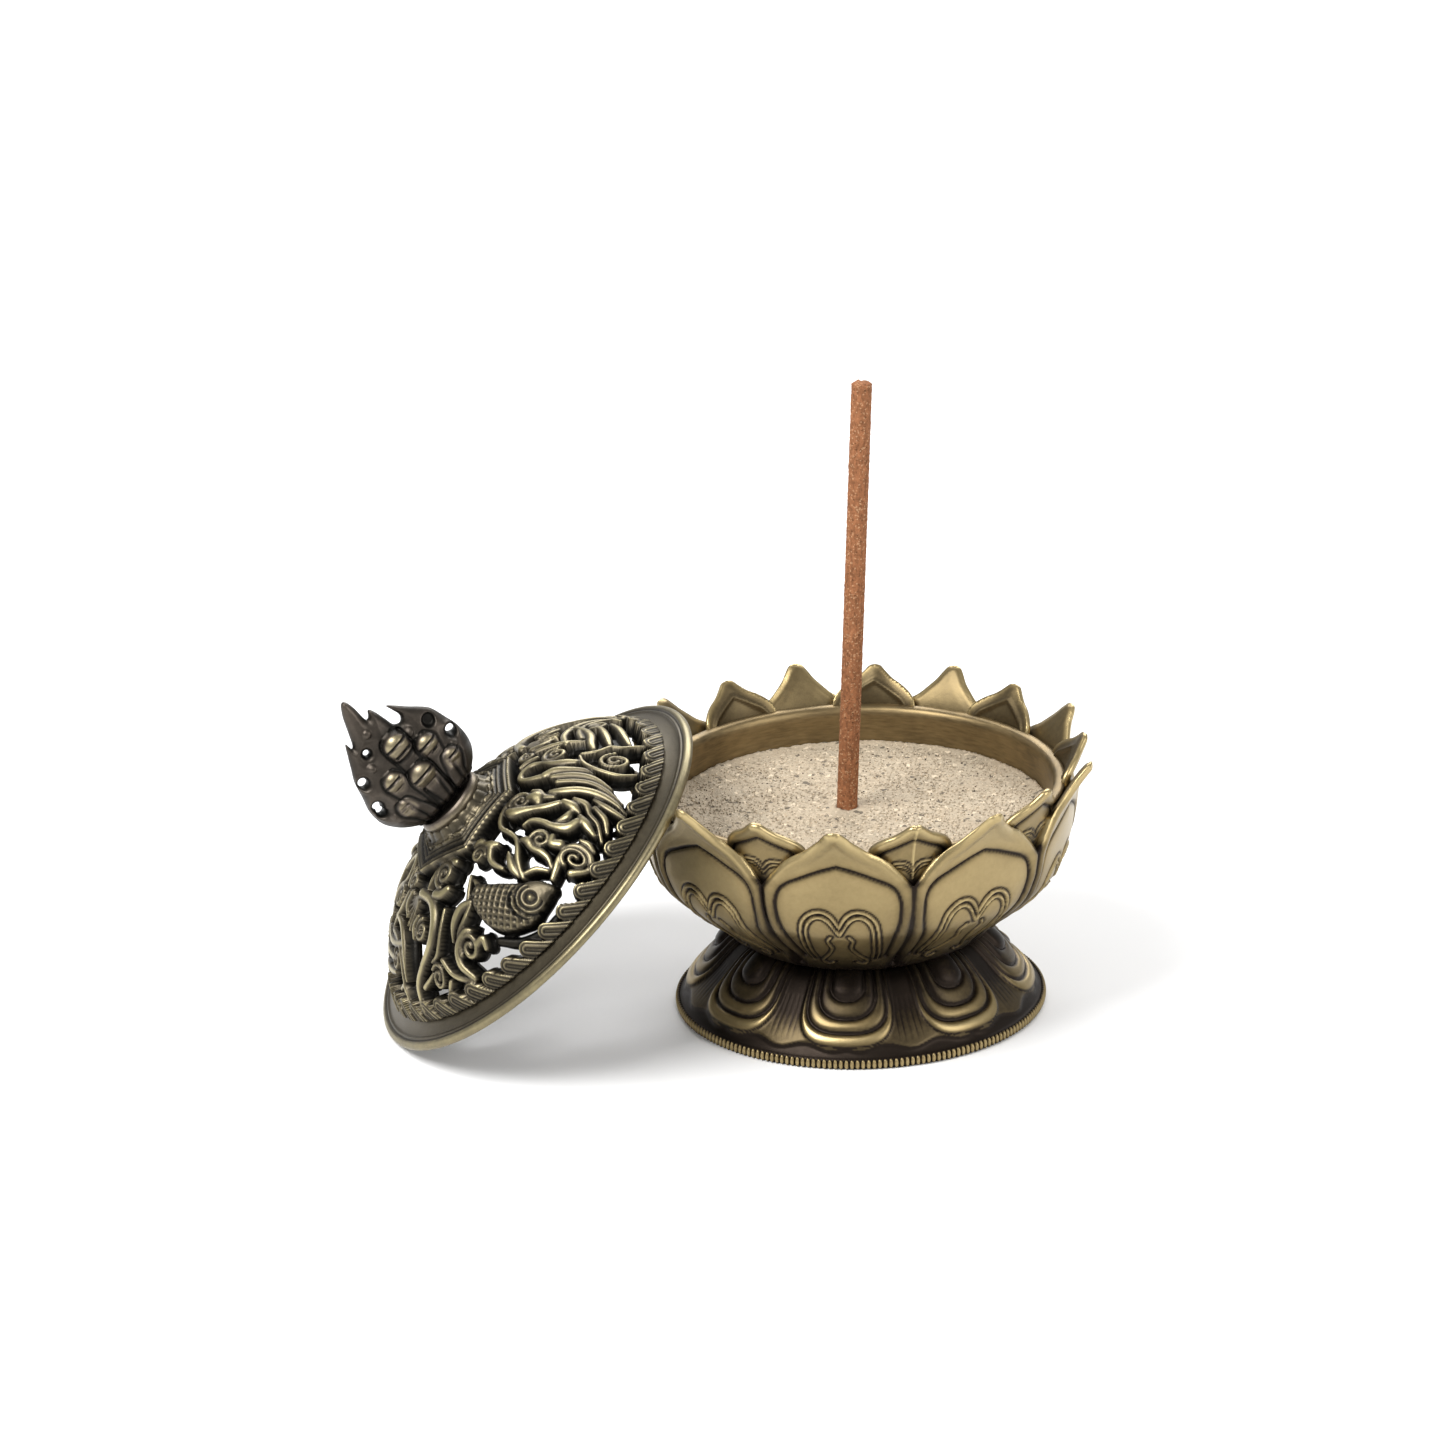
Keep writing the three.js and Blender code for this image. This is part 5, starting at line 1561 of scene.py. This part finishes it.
class BURNER_OT_lid(bpy.types.Operator):
    """Cast the openwork dome and its rim"""

    bl_idname = "burner.lid"
    bl_label = "Openwork lid"

    def execute(self, context):
        scale = context.scene.burner_sizes.lid_relief / MM
        step = DOME_STEP * 1.0
        reach = DOME[0][-1] + step
        side = np.arange(-reach, reach + step, step)
        x, y = np.meshgrid(side, side)
        solid = lid_fields(x, y)[0]
        keep = (solid[:-1, :-1] + solid[1:, :-1] + solid[:-1, 1:] + solid[1:, 1:]) > 0
        border = edge_points(keep, False)
        px, py = pulled_to_edge(x, y, lambda a, b: lid_fields(a, b)[0], border, step * 0.7, 2)
        solid, height, shade = lid_fields(px, py)
        rounding = -0.4 * (1 - np.clip(solid / 0.4, 0, 1)) ** 2
        at_rim = np.hypot(px, py) > DOME[0][-1] - 0.6
        lift = height * scale + np.where(at_rim, 0, rounding)
        front = dome_points(px, py, lift)
        back = dome_points(px, py, np.minimum(-DOME_WALL, lift - 0.8))
        weight = (solid > -0.05).astype(float)
        wide = wear_of(lift, weight, max(2, int(0.9 / step)), 0.5)
        worn_and_shaded = np.clip(shade * 0.68 + (wide - 0.5) * 0.5 + 0.03, 0, 1)
        both = np.concatenate([worn_and_shaded, np.full_like(worn_and_shaded, 0.25)]).reshape(-1)
        matrix = lid_frame()
        split = int(len(side) * 0.54)
        for name, rows in (("lid_openwork_front", slice(0, split)), ("lid_openwork_back", slice(split, None))):
            part = np.zeros_like(keep)
            part[rows] = keep[rows]
            points, faces, used = sheet_parts(front, back, part)
            piece = mesh_object(name, moved(points, matrix), faces, both[used])
            settle(piece, "lid", "dark_bronze", bronze(), "lid_dome")
        curve = along(smoothed(RIM_PROFILE, steps=4), 0.18)
        points, faces = lathe_parts(curve, 256)
        brassy = np.clip((curve[:, 0] - 35.9) / 0.5, 0, 1) * 0.2 - 0.2 * ridge(curve[:, 0] - 35.8, 0.2)
        crest = np.repeat(np.clip(0.42 + brassy, 0, 1), 256)
        rim = mesh_object("lid_rim", moved(points, matrix), faces, crest)
        settle(rim, "lid", "dark_bronze", bronze(), "lid_dome")
        return {"FINISHED"}


# ------------------------------------------------------------------ finial

class BURNER_OT_finial(bpy.types.Operator):
    """Cast the flaming jewels and the ring under them"""

    bl_idname = "burner.finial"
    bl_label = "Finial"

    def execute(self, context):
        step = 0.17
        x, h = np.meshgrid(np.arange(-11.4, 11.6, step), np.arange(21.6, 48.2, step))
        outline = smoothed(FINIAL_EDGE, closed=True, steps=4)

        def field(px, py):
            d = distance_to(np.vstack([outline, outline[:1]]), px, py)
            value = np.where(inside_of(outline, px, py), d, -d)
            for hx, hy, r in FINIAL_HOLES:
                value = np.minimum(value, np.hypot(px - hx, py - hy) - r)
            return value

        inside = field(x, h)
        keep = (inside[:-1, :-1] + inside[1:, :-1] + inside[:-1, 1:] + inside[1:, 1:]) > 0
        px, ph = pulled_to_edge(x, h, field, edge_points(keep, False), step * 0.8)
        e = np.clip(field(px, ph), 0, None)
        girth = np.interp(ph, *FINIAL_GIRTH)
        wide = np.interp(ph, *FINIAL_REACH)
        body = girth * np.sqrt(np.clip(1 - (px / wide) ** 2, 0.02, 1))
        flame = np.minimum(body, 1.0 + 0.35 * np.clip(e, 0, 2.5))
        blend = np.clip((39.0 - ph) / 6.0, 0, 1)
        depth = flame * (1 - blend) + body * blend
        depth = depth * np.sqrt(1 - (1 - np.clip(e / np.minimum(2.2, 0.6 + depth * 0.5), 0, 1)) ** 2)
        for sx, sh, r in FINIAL_STUDS:
            d = np.hypot(px - sx, ph - sh)
            depth = depth + np.sqrt(np.clip(r**2 - d**2, 0, None)) * 0.6
        grime = np.zeros_like(depth)
        for hx, hy, r in FINIAL_HOLES:
            d = np.hypot(px - hx, ph - hy) - r
            depth = depth + 0.28 * ridge(d - 0.6, 0.4) * (e > 0.05)
            grime = grime + 0.3 * ridge(d, 0.35)
        for hx, hy, r in FINIAL_DENTS:
            d = np.hypot(px - hx, ph - hy)
            depth = depth * (1 - 0.55 * np.clip((r - d) / 0.4, 0, 1))
            grime = grime + 0.35 * np.clip((r + 0.1 - d) / 0.4, 0, 1)
        lines = np.zeros_like(depth)
        for jx, jh, r, forward in JEWELS:
            foot = (jx * 0.55, 22.6, r * 0.8)
            seed = along(np.array([(jx, jh, r), (jx * 0.8, (jh + 24) / 2, r * 0.86), foot]), 0.3)
            best, size = np.full(px.shape, -9.0), np.ones(px.shape)
            for sx, sh, sr in seed:
                value = sr - np.hypot(px - sx, ph - sh)
                better = value > best
                best[better], size[better] = value[better], sr
            share = np.clip(best / size, 0, 1)
            round_up = size * np.sqrt(1 - (1 - share) ** 2)
            taper = np.interp(ph, [22.6, jh], [0.25, 1.0])
            stand = (forward * np.interp(ph, [22.4, 26, jh], [0.75, 0.95, 1.0]) + round_up * 0.9 * taper)
            d = np.hypot(px - jx, ph - jh)
            slits = np.zeros_like(px)
            for offset in (0.35, -0.85):
                arc = ph - jh - offset * r * 0.62 + 0.05 * (px - jx) ** 2
                slits = np.maximum(slits, ridge(arc, 0.17) * (d < r * 0.93))
            band = ridge(ph - (jh - r * 0.95), 0.3) * (best > 0) * 0.28
            stand = stand - slits * 0.5 - band
            over = (best > 0) & (stand > depth)
            lines = np.where(over, slits + band, lines)
            crease = ridge(best, 0.28) * 0.35
            depth = np.where(over, stand, depth - crease * (best > -0.8) * (ph < jh + r))
            grime = np.where(over, 0.26 * ridge(best, 0.22), grime + 0.24 * ridge(best, 0.35) * (ph < jh + r))
        depth = np.maximum(depth, 0.05)
        wear = wear_of(depth, (e > 0).astype(float), 6, 0.5)
        # The jewels' heads are painted lighter: rubbed high places with a painted highlight.
        head = np.zeros_like(depth)
        for jx, jh, r, _ in JEWELS:
            head = np.maximum(head, np.clip((r * 1.02 - np.hypot(px - jx, ph - jh)) / 0.6, 0, 1))
        tips = np.clip((ph - 41) / 6, 0, 1) * 0.15
        wear = np.clip(0.3 + (wear - 0.5) * 0.4 + tips + head * 0.27 - lines * 0.9 - grime, 0, 1)
        front = np.stack([px, -depth, ph], -1)
        back = np.stack([px, depth, ph], -1)
        points, faces, used = sheet_parts(front, back, keep)
        both = np.concatenate([wear, wear]).reshape(-1)[used]
        matrix = lid_frame()
        piece = mesh_object("finial_jewels", moved(points, matrix), faces, both)
        settle(piece, "lid", "finial_bronze", finial_metal(), "finial")
        curve = along(smoothed(FINIAL_COLLAR_PROFILE, steps=4), 0.12)
        points, faces = lathe_parts(curve, 96)
        crest = np.repeat(np.clip(0.34 + (curve[:, 0] - 5.4) * 0.28, 0.2, 0.7), 96)
        ring = mesh_object("finial_ring", moved(points, matrix), faces, crest)
        settle(ring, "lid", "finial_bronze", finial_metal(), "finial_collar")
        return {"FINISHED"}


class BURNER_OT_fasteners(bpy.types.Operator):
    """Give the screws, washers and nut their steel"""

    bl_idname = "burner.fasteners"
    bl_label = "Screws and nut"

    def execute(self, context):
        steel = steel_paint()
        for name in ("foot_screw", "foot_washer", "foot_nut", "finial_screw", "finial_washer"):
            node = frame["nodes"][name]
            for index in range(len(node.material_slots)):
                node.material_slots[index].material = steel
        return {"FINISHED"}


# ------------------------------------------------------------------ stage

CAMERA_DISTANCE = 1277.0
CAMERA_ELEVATION = 20.8
CAMERA_ROLL = -1.7
CAMERA_LENS = 187.5
CAMERA_TARGET = (-22.9, 0.0, 51.9)  # from the bowl's axis on the table


def area_light(name, place, target, size, power):
    light = bpy.data.lights.new(name, "AREA")
    light.shape = "RECTANGLE"
    light.size, light.size_y = size
    light.energy = power
    lamp = bpy.data.objects.new(name, light)
    bpy.context.scene.collection.objects.link(lamp)
    lamp.location = place
    lamp.rotation_euler = (Vector(target) - Vector(place)).to_track_quat("-Z", "Y").to_euler()
    return lamp


class BURNER_OT_stage(bpy.types.Operator):
    """Set the floor, the lights and the camera"""

    bl_idname = "burner.stage"
    bl_label = "Studio"

    def execute(self, context):
        mesh = bpy.data.meshes.new("floor")
        s = 4.0
        mesh.from_pydata([(-s, -s, 0), (s, -s, 0), (s, s, 0), (-s, s, 0)], [], [(0, 1, 2, 3)])
        floor = bpy.data.objects.new("floor", mesh)
        context.scene.collection.objects.link(floor)
        mesh.materials.append(floor_paint())
        world = bpy.data.worlds.new("studio")
        world.use_nodes = True
        world.node_tree.nodes["Background"].inputs["Color"].default_value = (1, 1, 1, 1)
        world.node_tree.nodes["Background"].inputs["Strength"].default_value = 0.45
        context.scene.world = world
        x, y = middle_of("foot")
        area_light("key", (x - 0.5, y - 0.35, 0.75), (x - 0.02, y, 0.03), (0.5, 0.5), 10.0)
        area_light("fill", (x + 0.7, y - 0.5, 0.5), (x, y, 0.03), (0.6, 0.6), 4.0)
        area_light("back", (x + 0.1, y + 0.7, 0.6), (x, y, 0.03), (0.8, 0.4), 7.0)
        camera = bpy.data.cameras.new("camera")
        camera.lens = CAMERA_LENS
        camera.sensor_width = 36.0
        camera.clip_start, camera.clip_end = 0.05, 20
        view = bpy.data.objects.new("camera", camera)
        context.scene.collection.objects.link(view)
        up = math.radians(CAMERA_ELEVATION)
        forward = Vector((0, math.cos(up), -math.sin(up)))
        target = Vector((x, y, 0)) + Vector(CAMERA_TARGET) * MM
        view.location = target - forward * CAMERA_DISTANCE * MM
        aim = forward.to_track_quat("-Z", "Y").to_matrix().to_4x4()
        roll = Matrix.Rotation(math.radians(CAMERA_ROLL), 4, "Z")
        view.matrix_world = Matrix.Translation(view.location) @ aim @ roll
        context.scene.camera = view
        context.scene.view_settings.view_transform = "Standard"
        return {"FINISHED"}


# ------------------------------------------------------------------ panel and registration

OPERATORS = (
    BURNER_OT_stage, BURNER_OT_foot, BURNER_OT_beads, BURNER_OT_bowl, BURNER_OT_liner, BURNER_OT_sand,
    BURNER_OT_stick, BURNER_OT_lid, BURNER_OT_finial, BURNER_OT_fasteners,
)


class BURNER_PT_panel(bpy.types.Panel):
    """The burner's pieces, in the 3D view's sidebar"""

    bl_label = "Incense burner"
    bl_idname = "BURNER_PT_panel"
    bl_space_type = "VIEW_3D"
    bl_region_type = "UI"
    bl_category = "Burner"

    def draw(self, context):
        for group in (context.scene.burner_sizes, context.scene.burner_colours):
            for key in group.__annotations__:
                self.layout.prop(group, key)
        for operator in OPERATORS:
            self.layout.operator(operator.bl_idname)


CLASSES = (BurnerSizes, BurnerColours, *OPERATORS, BURNER_PT_panel)


def register():
    for cls in CLASSES:
        bpy.utils.register_class(cls)
    bpy.types.Scene.burner_sizes = bpy.props.PointerProperty(type=BurnerSizes)
    bpy.types.Scene.burner_colours = bpy.props.PointerProperty(type=BurnerColours)


def unregister():
    del bpy.types.Scene.burner_colours
    del bpy.types.Scene.burner_sizes
    for cls in reversed(CLASSES):
        bpy.utils.unregister_class(cls)


def main():
    register()
    for operator in OPERATORS:
        group, name = operator.bl_idname.split(".")
        getattr(getattr(bpy.ops, group), name)()


if __name__ == "__main__":
    main()
